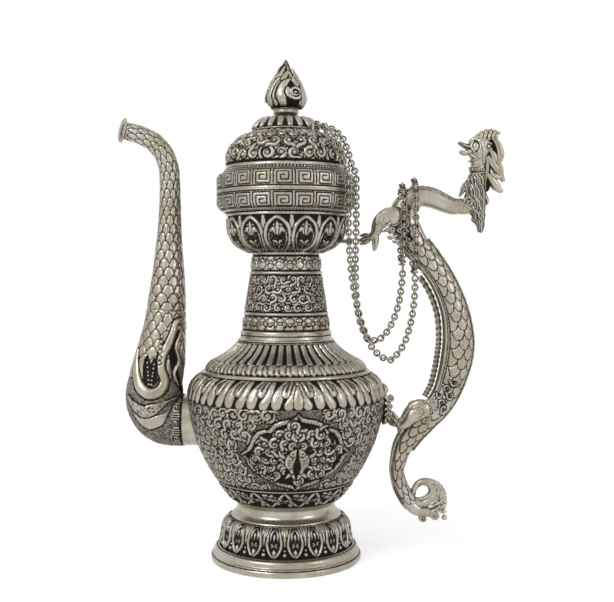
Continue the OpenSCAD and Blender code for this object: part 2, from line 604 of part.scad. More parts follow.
module chain_lid_outer() lid_strand(strand_outer);
module chain_lid_inner() lid_strand(strand_inner);
module chain_outer_left() hanging(strand_outer, 0, strand_outer[3], false);
module chain_outer_bend() hanging(strand_outer, strand_outer[3], strand_outer[4], true);
module chain_outer_right() hanging(strand_outer, strand_outer[4], len(strand_outer[2]), true);
module chain_inner_left() hanging(strand_inner, 0, strand_inner[3], false);
module chain_inner_bend() hanging(strand_inner, strand_inner[3], strand_inner[4], true);
module chain_inner_right() hanging(strand_inner, strand_inner[4], len(strand_inner[2]), true);
module chain_loop_outer() loop(strand_outer);
module chain_loop_inner() loop(strand_inner);

foot_flange();
lotus_foot();
foot_collar();
belly();
shoulder_ring();
shoulder_cone();
neck_root_ring();
neck_tube();
neck_ring_low();
neck_ring_high();
lotus_cup();
cup_bead_ring();
mouth_drum();
lid_sleeve();
lid_skirt();
lid_bead_ring();
lid_dome();
lid_crown();
finial_stem();
finial_bud();
finial_washer();
lid_staple();
spout_saddle();
spout_collar();
spout_bulb();
spout_tube();
spout_lip();
dragon_body();
belly_strip();
back_ridge();
dragon_head();
dragon_horns();
dragon_jaw();
dragon_mane();
fore_leg_near();
fore_leg_far();
hind_leg_near();
hind_leg_far();
tail_finial();
cup_bracket();
bracket_rivets();
belly_rosette();
chain_lid_outer();
chain_lid_inner();
chain_outer_left();
chain_outer_bend();
chain_outer_right();
chain_inner_left();
chain_inner_bend();
chain_inner_right();
chain_loop_outer();
chain_loop_inner();
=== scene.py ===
# Embossed silver ewer: chased bands, dragon handle, scaled spout, finishes and stage.
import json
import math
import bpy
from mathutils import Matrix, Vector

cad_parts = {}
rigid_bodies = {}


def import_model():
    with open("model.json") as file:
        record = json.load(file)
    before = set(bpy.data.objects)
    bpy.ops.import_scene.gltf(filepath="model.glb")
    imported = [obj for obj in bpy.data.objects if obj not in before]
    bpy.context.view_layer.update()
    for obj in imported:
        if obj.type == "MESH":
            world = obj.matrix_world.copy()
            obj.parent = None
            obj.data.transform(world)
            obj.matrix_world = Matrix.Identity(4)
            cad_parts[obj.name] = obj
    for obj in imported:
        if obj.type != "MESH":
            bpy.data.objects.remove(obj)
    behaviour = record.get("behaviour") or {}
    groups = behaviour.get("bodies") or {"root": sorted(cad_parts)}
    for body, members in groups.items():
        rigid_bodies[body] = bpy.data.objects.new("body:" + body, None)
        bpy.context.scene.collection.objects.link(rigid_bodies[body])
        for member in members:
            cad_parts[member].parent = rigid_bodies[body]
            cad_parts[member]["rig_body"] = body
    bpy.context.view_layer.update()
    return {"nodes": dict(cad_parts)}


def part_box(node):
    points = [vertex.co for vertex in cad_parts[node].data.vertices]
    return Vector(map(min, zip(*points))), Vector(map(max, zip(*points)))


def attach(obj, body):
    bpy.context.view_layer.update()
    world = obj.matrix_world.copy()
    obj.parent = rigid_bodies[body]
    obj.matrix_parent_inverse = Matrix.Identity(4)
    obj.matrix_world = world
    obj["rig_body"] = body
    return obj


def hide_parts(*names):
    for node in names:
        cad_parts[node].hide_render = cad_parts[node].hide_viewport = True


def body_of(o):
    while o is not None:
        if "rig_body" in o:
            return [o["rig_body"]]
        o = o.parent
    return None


bl_info = {
    "name": "Embossed Silver Ewer",
    "version": (1, 0, 0),
    "blender": (4, 5, 0),
    "location": "View3D > Sidebar > Ewer",
    "description": "Dresses the frame of a chased silver ewer with its ornament, finishes and stage",
    "category": "Object",
}

import bpy
import numpy as np
from mathutils import Vector
from mathutils.bvhtree import BVHTree

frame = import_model()
NODES = frame["nodes"]
BODY = "ewer"
LID = "lid"
MM = 0.001


# ---------------------------------------------------------------- small helpers

def deselect():
    bpy.ops.object.select_all(action="DESELECT")


def active(obj):
    deselect()
    obj.select_set(True)
    bpy.context.view_layer.objects.active = obj


def unit(v):
    return v / np.maximum(np.linalg.norm(v, axis=-1, keepdims=True), 1e-12)


def smooth_line(points, per):
    """A finer line through the points, by Catmull-Rom."""
    p = np.asarray(points, float)
    ext = np.vstack([2 * p[0] - p[1], p, 2 * p[-1] - p[-2]])
    out = []
    for i in range(1, len(ext) - 2):
        a, b, c, d = ext[i - 1], ext[i], ext[i + 1], ext[i + 2]
        for t in np.arange(per) / per:
            out.append(b + 0.5 * t * (c - a + t * (2 * a - 5 * b + 4 * c - d + t * (3 * (b - c) + d - a))))
    out.append(p[-1])
    return np.array(out)


def run_of(points):
    """Distance along a line at each of its points."""
    return np.concatenate([[0], np.cumsum(np.linalg.norm(np.diff(np.asarray(points, float), axis=0), axis=1))])


def spread(points, count):
    """count points at even steps along a line."""
    p = np.asarray(points, float)
    run = run_of(p[:, :3])
    at = np.linspace(0, run[-1], count)
    return np.stack([np.interp(at, run, p[:, k]) for k in range(p.shape[1])], 1)


def length_of(points):
    return float(run_of(points)[-1])


def keyed(values, at):
    """Values spread evenly from 0 to 1, read at these shares."""
    values = np.atleast_1d(values).astype(float)
    return np.interp(at, np.linspace(0, 1, len(values)), values)


def within(x, y, ring):
    """Whether a point, or each point of an array, lies inside a closed outline."""
    inside = np.zeros(np.shape(x), bool)
    for (ax, ay), (bx, by) in zip(ring, np.roll(ring, -1, axis=0)):
        if ay != by:
            inside ^= ((ay > y) != (by > y)) & (x < (bx - ax) * (y - ay) / (by - ay) + ax)
    return inside


def in_plane(line):
    """Rows that start with x and z as points of the plane Y = 0."""
    return np.stack([line[:, 0], 0 * line[:, 0], line[:, 1]], 1)


# ---------------------------------------------------------------- the chaser's sheet

class Sheet:
    """A strip of metal that is chased flat and then rolled up: high is in mm, dark is the patina and, in a few
    places, painted shade.
    """

    def __init__(self, length, height, res=4.0):
        self.length, self.height = length, height
        self.nx, self.ny = max(8, round(length * res)), max(4, round(height * res))
        self.rx, self.ry = self.nx / length, self.ny / height
        self.high = np.zeros((self.ny, self.nx), np.float32)
        self.dark = np.zeros((self.ny, self.nx), np.float32)

    def window(self, pts, reach):
        lo, hi = pts.min(0) - reach, pts.max(0) + reach
        ix = np.arange(math.floor(lo[0] * self.rx), math.ceil(hi[0] * self.rx) + 1)
        iy = np.arange(max(0, math.floor(lo[1] * self.ry)), min(self.ny, math.ceil(hi[1] * self.ry) + 1))
        if not len(ix) or not len(iy):
            return None
        x, y = np.meshgrid((ix + 0.5) / self.rx, (iy + 0.5) / self.ry)
        return np.ix_(iy, ix % self.nx), x, y

    @staticmethod
    def reach_of(x, y, pts, wide):
        """Distance to the line less its half width, and the share of the half width, at each point."""
        a, b = pts[:-1], pts[1:]
        d = b - a
        ll = np.maximum((d * d).sum(1), 1e-9)
        px, py = x[..., None] - a[:, 0], y[..., None] - a[:, 1]
        t = np.clip((px * d[:, 0] + py * d[:, 1]) / ll, 0, 1)
        dist = np.hypot(px - t * d[:, 0], py - t * d[:, 1])
        w = wide[:-1] + t * (wide[1:] - wide[:-1])
        k = np.argmin(dist - w, axis=-1)[..., None]
        dist, w = np.take_along_axis(dist, k, -1)[..., 0], np.take_along_axis(w, k, -1)[..., 0]
        return dist - w, dist / np.maximum(w, 1e-6)

    def strand(self, pts, wide, high=0.6, line=0.35, base=0.0, dark=1.0, sink=0.25):
        """A rounded strand, or leaf, with a dark line round it."""
        pts = np.asarray(pts, float)
        wide = keyed(wide, np.linspace(0, 1, len(pts)))
        win = self.window(pts, wide.max() + line + 0.1)
        if win is None or len(pts) < 2:
            return
        at, x, y = win
        gap, share = self.reach_of(x, y, pts, wide)
        h, k = self.high[at], self.dark[at]
        rim = (gap >= 0) & (gap < line)
        inside = gap < 0
        h[rim] = np.minimum(h[rim], base - sink)
        k[rim] = np.maximum(k[rim], dark * (1 - 0.35 * gap[rim] / max(line, 1e-6)))
        h[inside] = base + high * np.sqrt(np.clip(1 - share[inside] ** 2, 0, 1))
        k[inside] = 0
        self.high[at], self.dark[at] = h, k

    def flow(self, pts, per, wide, *how, **more):
        """A strand along a smooth line with per points between each two given."""
        self.strand(smooth_line(pts, per), wide, *how, **more)

    def ground(self, high, dark):
        self.high[:], self.dark[:] = high, dark

    def rule(self, y, *how):
        """A groove that runs all round."""
        self.groove([(0, y), (self.length, y)], *how)

    def prick(self, x, y, *how):
        """A punched hole."""
        self.groove([(x, y), (x + 0.02, y)], *how)

    def groove(self, pts, wide=0.3, deep=0.3, dark=1.0):
        pts = np.asarray(pts, float)
        wide = keyed(wide, np.linspace(0, 1, len(pts)))
        win = self.window(pts, wide.max() + 0.3)
        if win is None or len(pts) < 2:
            return
        at, x, y = win
        gap, _ = self.reach_of(x, y, pts, wide)
        cut = np.clip(1 - np.maximum(gap, 0) / 0.25, 0, 1)
        self.high[at] -= deep * cut
        self.dark[at] = np.maximum(self.dark[at], dark * cut)

    def panel(self, ring, top=0.6, dome=0.3, round_=1.5, line=0.35, dark=1.0, sink=0.25, ground=0.0):
        """A raised panel inside a closed outline, crowned towards its middle."""
        ring = np.asarray(ring, float)
        loop = np.vstack([ring, ring[:1]])
        win = self.window(ring, line + 0.1)
        if win is None:
            return
        at, x, y = win
        gap, _ = self.reach_of(x, y, loop, np.zeros(len(loop)))
        inside = within(x, y, ring)
        h, k = self.high[at], self.dark[at]
        rim = ~inside & (gap < line)
        h[rim] = np.minimum(h[rim], -sink)
        k[rim] = np.maximum(k[rim], dark)
        crown = 1 - (1 - np.clip(gap / round_, 0, 1)) ** 2
        edge = np.clip(gap / 0.4, 0, 1)
        h[inside] = (top * edge + dome * crown)[inside]
        k[inside] = ground
        self.high[at], self.dark[at] = h, k

    def dot(self, x, y, r, high=0.5, line=0.3, dark=1.0):
        self.strand([(x - 0.01, y), (x + 0.01, y)], [r], high, line, dark=dark)

    def pits(self, ring, pitch, r, seed):
        """Punched dots inside an outline."""
        rng = np.random.default_rng(seed)
        ring = np.asarray(ring, float)
        lo, hi = ring.min(0), ring.max(0)
        for x in np.arange(lo[0], hi[0], pitch):
            for y in np.arange(lo[1], hi[1], pitch):
                px, py = x + rng.uniform(-0.3, 0.3) * pitch, y + rng.uniform(-0.3, 0.3) * pitch
                if within(px, py, ring):
                    self.prick(px, py, r, 0.2, 0.9)

    def curl(self, x, y, r, turn, start, turns=1.5, wide=0.75, high=0.45, line=0.3, tail=0.0):
        """A scroll: it starts outside at the angle start and winds in; turn is 1 or -1."""
        n = max(10, int(14 * turns))
        t = np.linspace(0, 1, n)
        ang = math.radians(start) + turn * 2 * math.pi * turns * t
        rad = r * (1 - t) ** 0.85 + 0.12 * r * t
        pts = np.stack([x + rad * np.cos(ang), y + rad * np.sin(ang)], 1)
        if tail:
            d = unit(pts[0] - pts[1])
            out = np.array([math.cos(ang[0]), math.sin(ang[0])])
            pts = np.vstack([pts[0] + tail * (0.9 * d + 0.35 * out), pts[0] + tail * 0.5 * d, pts])
        self.strand(pts, np.linspace(wide, wide * 0.62, len(pts)), high, line)
        self.dot(x, y, wide * 0.8, high * 1.1, line)

    def lobes(self, x, y, r, turn, start, count, size=0.8, high=0.4):
        """Small leaves that lick out from a scroll's back."""
        for i in range(count):
            a = math.radians(start) + turn * (0.25 + 0.62 * i)
            o = np.array([math.cos(a), math.sin(a)])
            s = np.array([-math.sin(a), math.cos(a)]) * turn
            p = np.array([x, y]) + o * r
            self.strand([p - 0.2 * s, p + o * size * 0.9 - s * size * 0.2, p + o * size * 1.5 - s * size * 1.1],
                        [0.42 * size, 0.55 * size, 0.12], high, 0.28)

    def finish(self):
        """Darkens the low ground beside high work and softens the whole by a pixel."""
        def box(a, k):
            for _ in range(k):
                a = (a + np.roll(a, 1, 1) + np.roll(a, -1, 1)) / 3
                up, down = np.vstack([a[1:], a[-1:]]), np.vstack([a[:1], a[:-1]])
                a = (a + up + down) / 3
            return a
        low = box(self.high, 5) - self.high
        self.dark = np.clip(self.dark + np.clip(low * 1.1, 0, 0.55), 0, 1)
        self.high, self.dark = box(self.high, 1), box(self.dark, 1)

    def read(self, u, v):
        """Height and patina at shares u round and v up the strip."""
        fx = (u % 1) * self.nx - 0.5
        fy = np.clip(v * self.ny - 0.5, 0, self.ny - 1.001)
        x0, y0 = np.floor(fx).astype(int), np.floor(fy).astype(int)
        tx, ty = fx - x0, fy - y0
        out = []
        for a in (self.high, self.dark):
            g = lambda j, i: a[np.clip(j, 0, self.ny - 1), i % self.nx]
            out.append((g(y0, x0) * (1 - tx) + g(y0, x0 + 1) * tx) * (1 - ty)
                       + (g(y0 + 1, x0) * (1 - tx) + g(y0 + 1, x0 + 1) * tx) * ty)
        return out


# ---------------------------------------------------------------- meshes from sheets

def outer_line(node, azimuth=105.0, steps=160, top=None, bottom=None):
    """The outer profile of a turned node, from rays towards its axis: rows of (r, z) in mm, bottom up."""
    mesh = NODES[node].data
    tree = BVHTree.FromPolygons([v.co.copy() for v in mesh.vertices],
                                [tuple(p.vertices) for p in mesh.polygons])
    lo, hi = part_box(node)
    z0, z1 = (lo.z / MM if bottom is None else bottom), (hi.z / MM if top is None else top)
    out = Vector((math.cos(math.radians(azimuth)), math.sin(math.radians(azimuth)), 0))
    rows = []
    for z in np.linspace(z0 + 0.02, z1 - 0.02, steps):
        hit = tree.ray_cast(out * 0.2 + Vector((0, 0, z * MM)), -out)
        if hit[0] is not None:
            rows.append((math.hypot(hit[0].x, hit[0].y) / MM, z))
    return np.array(rows)


def closed_skin(name, grid, dark):
    """A closed skin: a grid primitive whose edges are merged into a ring both ways, then given the places of
    the grid, shape (around, along, 3) in mm."""
    around, along = grid.shape[:2]
    deselect()
    bpy.ops.mesh.primitive_grid_add(x_subdivisions=around, y_subdivisions=along, size=2)
    obj = bpy.context.object
    obj.name = obj.data.name = name
    me = obj.data
    co = np.empty(len(me.vertices) * 3, np.float32)
    me.vertices.foreach_get("co", co)
    co = co.reshape(-1, 3)
    i = np.rint((co[:, 0] + 1) / 2 * around).astype(int) % around
    j = np.rint((co[:, 1] + 1) / 2 * along).astype(int) % along
    a, b = 2 * np.pi * i / around, 2 * np.pi * j / along
    ring = np.stack([(2 + np.cos(b)) * np.cos(a), (2 + np.cos(b)) * np.sin(a), np.sin(b)], 1)
    me.vertices.foreach_set("co", ring.astype(np.float32).ravel())
    cell = me.attributes.new("cell", "INT", "POINT")
    cell.data.foreach_set("value", (i * along + j).astype(np.int32))
    me.update()
    active(obj)
    bpy.ops.object.mode_set(mode="EDIT")
    bpy.ops.mesh.select_all(action="SELECT")
    bpy.ops.mesh.remove_doubles(threshold=0.00001)
    bpy.ops.object.mode_set(mode="OBJECT")
    me = obj.data
    if len(me.vertices) != around * along:
        raise RuntimeError(f"{name} did not close: {len(me.vertices)} points, not {around * along}")
    order = np.empty(len(me.vertices), np.int32)
    me.attributes["cell"].data.foreach_get("value", order)
    me.attributes.remove(me.attributes["cell"])
    me.vertices.foreach_set("co", (grid.reshape(-1, 3)[order] * MM).astype(np.float32).ravel())
    note = me.attributes.new("patina_and_shade", "FLOAT", "POINT")
    note.data.foreach_set("value", dark.reshape(-1)[order].astype(np.float32))
    settle(obj)
    return obj


def settle(obj):
    """Puts the place in the mesh, points the faces outwards and shades them smooth."""
    active(obj)
    obj.location = (0, 0, 0)
    obj.rotation_euler = (0, 0, 0)
    obj.scale = (1, 1, 1)
    for layer in list(obj.data.uv_layers):
        obj.data.uv_layers.remove(layer)
    me = obj.data
    me.update()
    tris = np.empty(len(me.loops), np.int32)
    me.loops.foreach_get("vertex_index", tris)
    co = np.empty(len(me.vertices) * 3, np.float32)
    me.vertices.foreach_get("co", co)
    co = co.reshape(-1, 3).astype(float)
    co -= co.mean(0)
    start = np.empty(len(me.polygons), np.int32)
    total = np.empty(len(me.polygons), np.int32)
    me.polygons.foreach_get("loop_start", start)
    me.polygons.foreach_get("loop_total", total)
    volume = 0.0
    for k in range(1, int(total.max()) - 1):
        ok = total > k + 1
        a, b, c = co[tris[start[ok]]], co[tris[start[ok] + k]], co[tris[start[ok] + k + 1]]
        volume += np.einsum("ij,ij->i", a, np.cross(b, c)).sum()
    if volume < 0:
        me.flip_normals()
    bpy.ops.object.shade_smooth()
    return obj


SEAM = 90.0  # azimuth where every rolled sheet starts, degrees
INNER_ROWS = 8  # rows of points on the inside of a rolled band


def band(name, line, sheet, columns, rows, wall=1.1):
    """Rolls a sheet round a turned profile. The strip starts at SEAM and runs counter-clockwise."""
    line = spread(line, rows)
    tan = unit(np.gradient(line, axis=0))
    nor = np.stack([tan[:, 1], -tan[:, 0]], 1)
    if nor[:, 0].mean() < 0:
        nor = -nor
    back = spread(line - wall * nor, INNER_ROWS)[::-1]
    back[:, 0] = np.maximum(back[:, 0], 0.4)
    u = np.arange(columns) / columns
    v = np.linspace(0, 1, rows)
    high, dark = sheet.read(u[:, None] + 0 * v, v + 0 * u[:, None])
    fade = np.clip(np.minimum(v, 1 - v) * rows / 2.0, 0, 1)
    r = line[:, 0] + (high * fade) * nor[:, 0]
    z = line[:, 1] + (high * fade) * nor[:, 1]
    r = np.concatenate([r, np.broadcast_to(back[:, 0], (columns, INNER_ROWS))], 1)
    z = np.concatenate([z, np.broadcast_to(back[:, 1], (columns, INNER_ROWS))], 1)
    dark = np.concatenate([dark, np.full((columns, INNER_ROWS), 0.35)], 1)
    a = np.radians(SEAM) + 2 * np.pi * u[:, None]
    return closed_skin(name, np.stack([r * np.cos(a), r * np.sin(a), z], -1), dark)


def frames_along(path):
    """Tangent, up and side of a line that lies near the plane Y = 0."""
    tan = unit(np.gradient(path, axis=0))
    side = unit(np.array([0.0, 1, 0]) - tan[:, 1:2] * tan)
    return tan, np.cross(side, tan), side


def template(segments, rings):
    """Vertices and faces of a sphere primitive, with each vertex's share along and its angle round."""
    deselect()
    bpy.ops.mesh.primitive_uv_sphere_add(segments=segments, ring_count=rings, radius=1)
    obj = bpy.context.object
    co = np.array([v.co[:] for v in obj.data.vertices])
    faces = [tuple(p.vertices) for p in obj.data.polygons]
    bpy.data.objects.remove(obj)
    return np.arccos(np.clip(co[:, 2], -1, 1)) / math.pi, np.arctan2(co[:, 1], co[:, 0]), faces


class Cast:
    """Many closed strands, beads and leaves gathered into one cast piece."""

    def __init__(self):
        self.co, self.faces, self.dark, self.kept = [], [], [], {}
        self.count = 0

    def shape(self, segments, rings):
        key = (segments, rings)
        if key not in self.kept:
            self.kept[key] = template(segments, rings)
        return self.kept[key]

    def add(self, co, faces, dark):
        self.co.append(co)
        self.faces.extend(tuple(i + self.count for i in f) for f in faces)
        self.dark.append(dark)
        self.count += len(co)

    def strand(self, pts, wide, thick=None, up=(0, 1, 0), segments=12, rings=20, ribs=0, rib=0.12, blunt=0.35,
               dark=0.0):
        """A tapering strand along pts in mm; wide runs across up, thick along it."""
        t, phi, faces = self.shape(segments, rings)
        path = smooth_line(pts, 6)
        path = spread(path, 60)
        s = np.linspace(0, 1, 60)
        tan = unit(np.gradient(path, axis=0))
        up = np.asarray(up, float)
        lift = unit(up - (tan @ up)[:, None] * tan)
        over = np.cross(tan, lift)
        at = lambda a: np.stack([np.interp(t, s, a[:, k]) for k in range(3)], 1)
        w = keyed(wide, t)
        h = w if thick is None else keyed(thick, t)
        end = np.clip(np.minimum(t, 1 - t) / (blunt / rings * 4), 0, 1) ** 0.5
        wave = 1 + (rib * np.cos(ribs * phi) if ribs else 0)
        co = at(path) + (w * end * wave * np.cos(phi))[:, None] * unit(at(over)) \
            + (h * end * wave * np.sin(phi))[:, None] * unit(at(lift))
        low = np.zeros(len(co)) if not ribs else np.clip(-np.cos(ribs * phi), 0, 1) * 0.9
        edge = np.clip(0.5 * (1.15 - np.minimum(t, 1 - t) * 12), 0, 1) * 0.6
        self.add(co, faces, np.clip(np.maximum(low, edge) + dark, 0, 1))

    def side(self, s, table):
        """Strands on the side s of the plane Y = 0; a row holds points, widths, thicknesses and the rest."""
        for pts, wide, thick, more in (tuple(row) + (None, {})[len(row) - 2:] for row in table):
            self.strand([(x, s * y, z) for x, y, z in pts], wide, thick, **more)

    def pairs(self, table):
        """The strands of a table on both sides."""
        for s in (-1, 1):
            self.side(s, table)

    def bead(self, c, r, squash=(1, 1, 1), segments=12, rings=8, dark=0.0):
        t, phi, faces = self.shape(segments, rings)
        th = t * math.pi
        co = np.stack([np.sin(th) * np.cos(phi), np.sin(th) * np.sin(phi), np.cos(th)], 1)
        self.add(np.asarray(c, float) + co * r * np.asarray(squash, float), faces, np.full(len(co), dark))

    def swirl(self, c, r, turn, start, turns, wide, y, rise=0.0, segments=10, rings=26):
        """A scroll in a plane of constant Y, winding in from the angle start."""
        t = np.linspace(0, 1, max(12, int(16 * turns)))
        ang = math.radians(start) + turn * 2 * math.pi * turns * t
        rad = r * (1 - t) ** 0.8 + 0.1 * r
        pts = np.stack([c[0] + rad * np.cos(ang), y + rise * t, c[1] + rad * np.sin(ang)], 1)
        self.strand(pts, np.linspace(wide, wide * 0.5, 5), np.linspace(wide, wide * 0.7, 5), segments=segments,
                    rings=rings)
        self.bead((c[0], y + rise, c[1]), wide * 0.9)

    def make(self, name):
        me = bpy.data.meshes.new(name)
        me.from_pydata((np.vstack(self.co) * MM).tolist(), [], self.faces)
        obj = bpy.data.objects.new(name, me)
        bpy.context.scene.collection.objects.link(obj)
        note = me.attributes.new("patina_and_shade", "FLOAT", "POINT")
        note.data.foreach_set("value", np.concatenate(self.dark).astype(np.float32))
        active(obj)
        bpy.ops.object.mode_set(mode="EDIT")
        bpy.ops.mesh.select_all(action="SELECT")
        bpy.ops.mesh.normals_make_consistent(inside=False)
        bpy.ops.object.mode_set(mode="OBJECT")
        bpy.ops.object.shade_smooth()
        return obj


# ---------------------------------------------------------------- chased motifs

def leafy_scrolls(sheet, x0, x1, y0, y1, pitch, keep=None, high=0.4, line=0.3, wide=0.7, seed=1, leaves=3):
    """Rows of scrolls with stems between them and small leaves licking out."""
    rng = np.random.default_rng(seed)
    rows = max(1, round((y1 - y0) / (pitch * 0.86)))
    cols = max(2, round((x1 - x0) / pitch))
    spots = []
    for j in range(rows):
        for i in range(cols):
            x = x0 + (i + 0.5 * (j % 2) + 0.25) * (x1 - x0) / cols
            y = y0 + (j + 0.5) * (y1 - y0) / rows
            x, y = x + rng.uniform(-0.1, 0.1) * pitch, y + rng.uniform(-0.07, 0.07) * pitch
            if keep is None or keep(x, y):
                spots.append((x, y, 1 if (i + j) % 2 else -1, rng.uniform(0, 360)))
    sizes = [pitch * (0.34 + 0.13 * rng.random()) for _ in spots]
    for (x, y, turn, start), r in zip(spots, sizes):
        a = math.radians(start - turn * 70)
        o = np.array([math.cos(a), math.sin(a)])
        side = np.array([-o[1], o[0]]) * turn
        p = np.array([x, y])
        sheet.strand([p + o * r * 2.2 - side * r * 1.1, p + o * r * 1.6, p + o * r * 0.9 + side * r * 0.6],
                     [0.2, wide * 0.9, wide], high * 0.8, line)
        t = math.radians(start) + turn * np.linspace(2.4, 4.9, 12)
        sheet.strand(np.stack([x + r * 1.42 * np.cos(t), y + r * 1.42 * np.sin(t)], 1),
                     [0.15, wide * 0.75, wide * 0.8, 0.2], high * 0.85, line)
    for (x, y, turn, start), r in zip(spots, sizes):
        sheet.lobes(x, y, r * 0.95, -turn, start + 180, leaves, pitch * 0.15, high)
        sheet.curl(x, y, r, turn, start, 1.15, wide, high, line, tail=pitch * 0.3)
        sheet.dot(x, y, wide * 1.05, high * 1.15, line)


def key_band(sheet, n, y0, y1, cut=0.14, deep=0.3):
    """n square keys in fine lines between two rules, with a double rule between neighbours."""
    step = sheet.length / n
    h = y1 - y0
    sheet.dark[:] = 0.04
    for e in (y0, y1):
        sheet.rule(e, cut * 1.3, deep)
    for i in range(n):
        x = i * step
        g = [(0.0, 0.1), (0.0, 0.9), (0.86, 0.9), (0.86, 0.1), (0.16, 0.1), (0.16, 0.72), (0.7, 0.72),
             (0.7, 0.28), (0.34, 0.28), (0.34, 0.52), (0.54, 0.52)]
        pts = np.array([(x + a * step, y0 + b * h) for a, b in g])
        sheet.groove(pts, cut, deep, 0.95)


def hatched_frame(sheet, ring, inner, strokes=110, wide=0.22):
    """A raised frame between two outlines with strokes across it."""
    sheet.panel(ring, 0.9, 0.15, 1.0, 0.6)
    out, inn = (spread(np.vstack([line, line[:1]]), 2 * strokes) for line in (ring, inner))
    for k in range(0, 2 * strokes, 2):
        j = np.argmin(np.hypot(*(inn - out[k]).T))
        sheet.groove([out[k] * 0.75 + inn[j] * 0.25, out[k] * 0.3 + inn[j] * 0.7], wide, 0.15, 0.45)


def mirrored(quarter_top, quarter_low):
    """A closed outline from its upper right and lower right quarters."""
    right = list(quarter_top) + list(quarter_low)[1:]
    left = [(-x, y) for x, y in right[::-1]][1:-1]
    return np.array(right + left, float)


# ---------------------------------------------------------------- finishes

def patina_and_shade_material(name, silver, black, bright=0.0, hammer=0.0, grain=1.0, attribute=True):
    """Aged silver whose low places hold black patina, and whose dark marks in a few places are painted shade;
    hammer adds the dents of plain sheet.
    """
    mat = bpy.data.materials.new(name)
    mat.use_nodes = True
    nt = mat.node_tree
    nt.nodes.clear()
    new = nt.nodes.new
    link = nt.links.new
    out = new("ShaderNodeOutputMaterial")
    skin = new("ShaderNodeBsdfPrincipled")
    link(skin.outputs["BSDF"], out.inputs["Surface"])
    where = new("ShaderNodeTexCoord")

    def noise(scale, detail, rough=0.6):
        n = new("ShaderNodeTexNoise")
        n.inputs["Scale"].default_value = scale
        n.inputs["Detail"].default_value = detail
        n.inputs["Roughness"].default_value = rough
        link(where.outputs["Object"], n.inputs["Vector"])
        return n.outputs["Fac"]

    def span(value, a, b, c, d):
        m = new("ShaderNodeMapRange")
        m.inputs["From Min"].default_value, m.inputs["From Max"].default_value = a, b
        m.inputs["To Min"].default_value, m.inputs["To Max"].default_value = c, d
        link(value, m.inputs["Value"])
        return m.outputs["Result"]

    def maths(op, a, b):
        m = new("ShaderNodeMath")
        m.operation = op
        m.use_clamp = op != "MULTIPLY"
        for socket, value in zip(m.inputs, (a, b)):
            if isinstance(value, (int, float)):
                socket.default_value = value
            else:
                link(value, socket)
        return m.outputs[0]

    fine, broad, speck = noise(900 * grain, 4), noise(70, 3), noise(2600 * grain, 2)
    stain = span(broad, 0.42, 0.7, 0.0, 0.24)
    if attribute:
        mark = new("ShaderNodeAttribute")
        # The patina attribute holds black patina and, in a few places, painted shade.
        mark.attribute_name = "patina_and_shade"
        edge = maths("ADD", mark.outputs["Fac"], span(fine, 0.3, 0.7, -0.16, 0.16))
        dirt_and_shade = span(edge, 0.12, 0.56, 0.0, 1.0)
        dirt_and_shade = maths("MAXIMUM", dirt_and_shade, maths("MULTIPLY", stain, span(fine, 0.4, 0.62, 0.3, 1.0)))
    else:
        dirt_and_shade = maths("MULTIPLY", stain, span(fine, 0.36, 0.66, 0.4, 1.6))
    dirt_and_shade = maths("ADD", dirt_and_shade, span(speck, 0.62, 0.76, 0.0, 0.3))
    tone = new("ShaderNodeMix")
    tone.data_type = "RGBA"
    tone.inputs["A"].default_value = (*silver, 1)
    tone.inputs["B"].default_value = (*[c * 0.8 + d for c, d in zip(silver, (0.035, 0.012, -0.03))], 1)
    link(span(broad, 0.35, 0.65, 0.0, 1.0), tone.inputs["Factor"])
    mix = new("ShaderNodeMix")
    mix.data_type = "RGBA"
    mix.inputs["B"].default_value = (*black, 1)
    link(tone.outputs["Result"], mix.inputs["A"])
    link(dirt_and_shade, mix.inputs["Factor"])
    link(mix.outputs["Result"], skin.inputs["Base Color"])
    skin.inputs["Specular IOR Level"].default_value = 0.1
    link(span(dirt_and_shade, 0.0, 1.0, 1.0, 0.05), skin.inputs["Metallic"])
    link(maths("ADD", span(fine, 0.3, 0.7, 0.24 - bright, 0.38 - bright), span(dirt_and_shade, 0.0, 1.0, 0.0, 0.3)),
         skin.inputs["Roughness"])
    bump = new("ShaderNodeBump")
    bump.inputs["Strength"].default_value = 0.35
    bump.inputs["Distance"].default_value = 0.0004
    height = fine
    if hammer:
        dents = new("ShaderNodeTexVoronoi")
        dents.feature = "SMOOTH_F1"
        dents.inputs["Scale"].default_value = 160
        dents.inputs["Smoothness"].default_value = 0.8
        link(where.outputs["Object"], dents.inputs["Vector"])
        height = maths("ADD", maths("MULTIPLY", fine, 0.3),
                       maths("MULTIPLY", dents.outputs["Distance"], hammer))
    link(height, bump.inputs["Height"])
    link(bump.outputs["Normal"], skin.inputs["Normal"])
    return mat


FINISH = {}


def finish_of(kind):
    if kind not in FINISH:
        p = bpy.context.scene.ewer_finish
        silver, black = tuple(p.silver), tuple(p.patina_and_shade)
        FINISH[kind] = {
            "chased": lambda: patina_and_shade_material("chased_silver", silver, black),
            "plain": lambda: patina_and_shade_material("plain_silver", silver, black, 0.03, 0.5, 1.0, False),
            "cast": lambda: patina_and_shade_material("cast_silver", silver, black, 0.02),
            "link": lambda: patina_and_shade_material("chain_silver", tuple(c * 0.8 for c in silver), black, 0.02, 0,
                                            1.5),
            "worn": lambda: patina_and_shade_material("worn_silver", silver, black, 0.05, 0.25),
            "dark": lambda: patina_and_shade_material("dark_silver", tuple(c * 0.45 for c in silver), black, 0, 0.3, 1,
                                            False),
        }[kind]()
    return FINISH[kind]


def dress(obj, kind, body=BODY, nodes=()):
    """Finish, body and the CAD nodes that a new piece stands for."""
    obj.data.materials.clear()
    obj.data.materials.append(finish_of(kind))
    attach(obj, body)
    if nodes:
        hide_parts(*nodes)
    return obj


# ---------------------------------------------------------------- sizes and colours

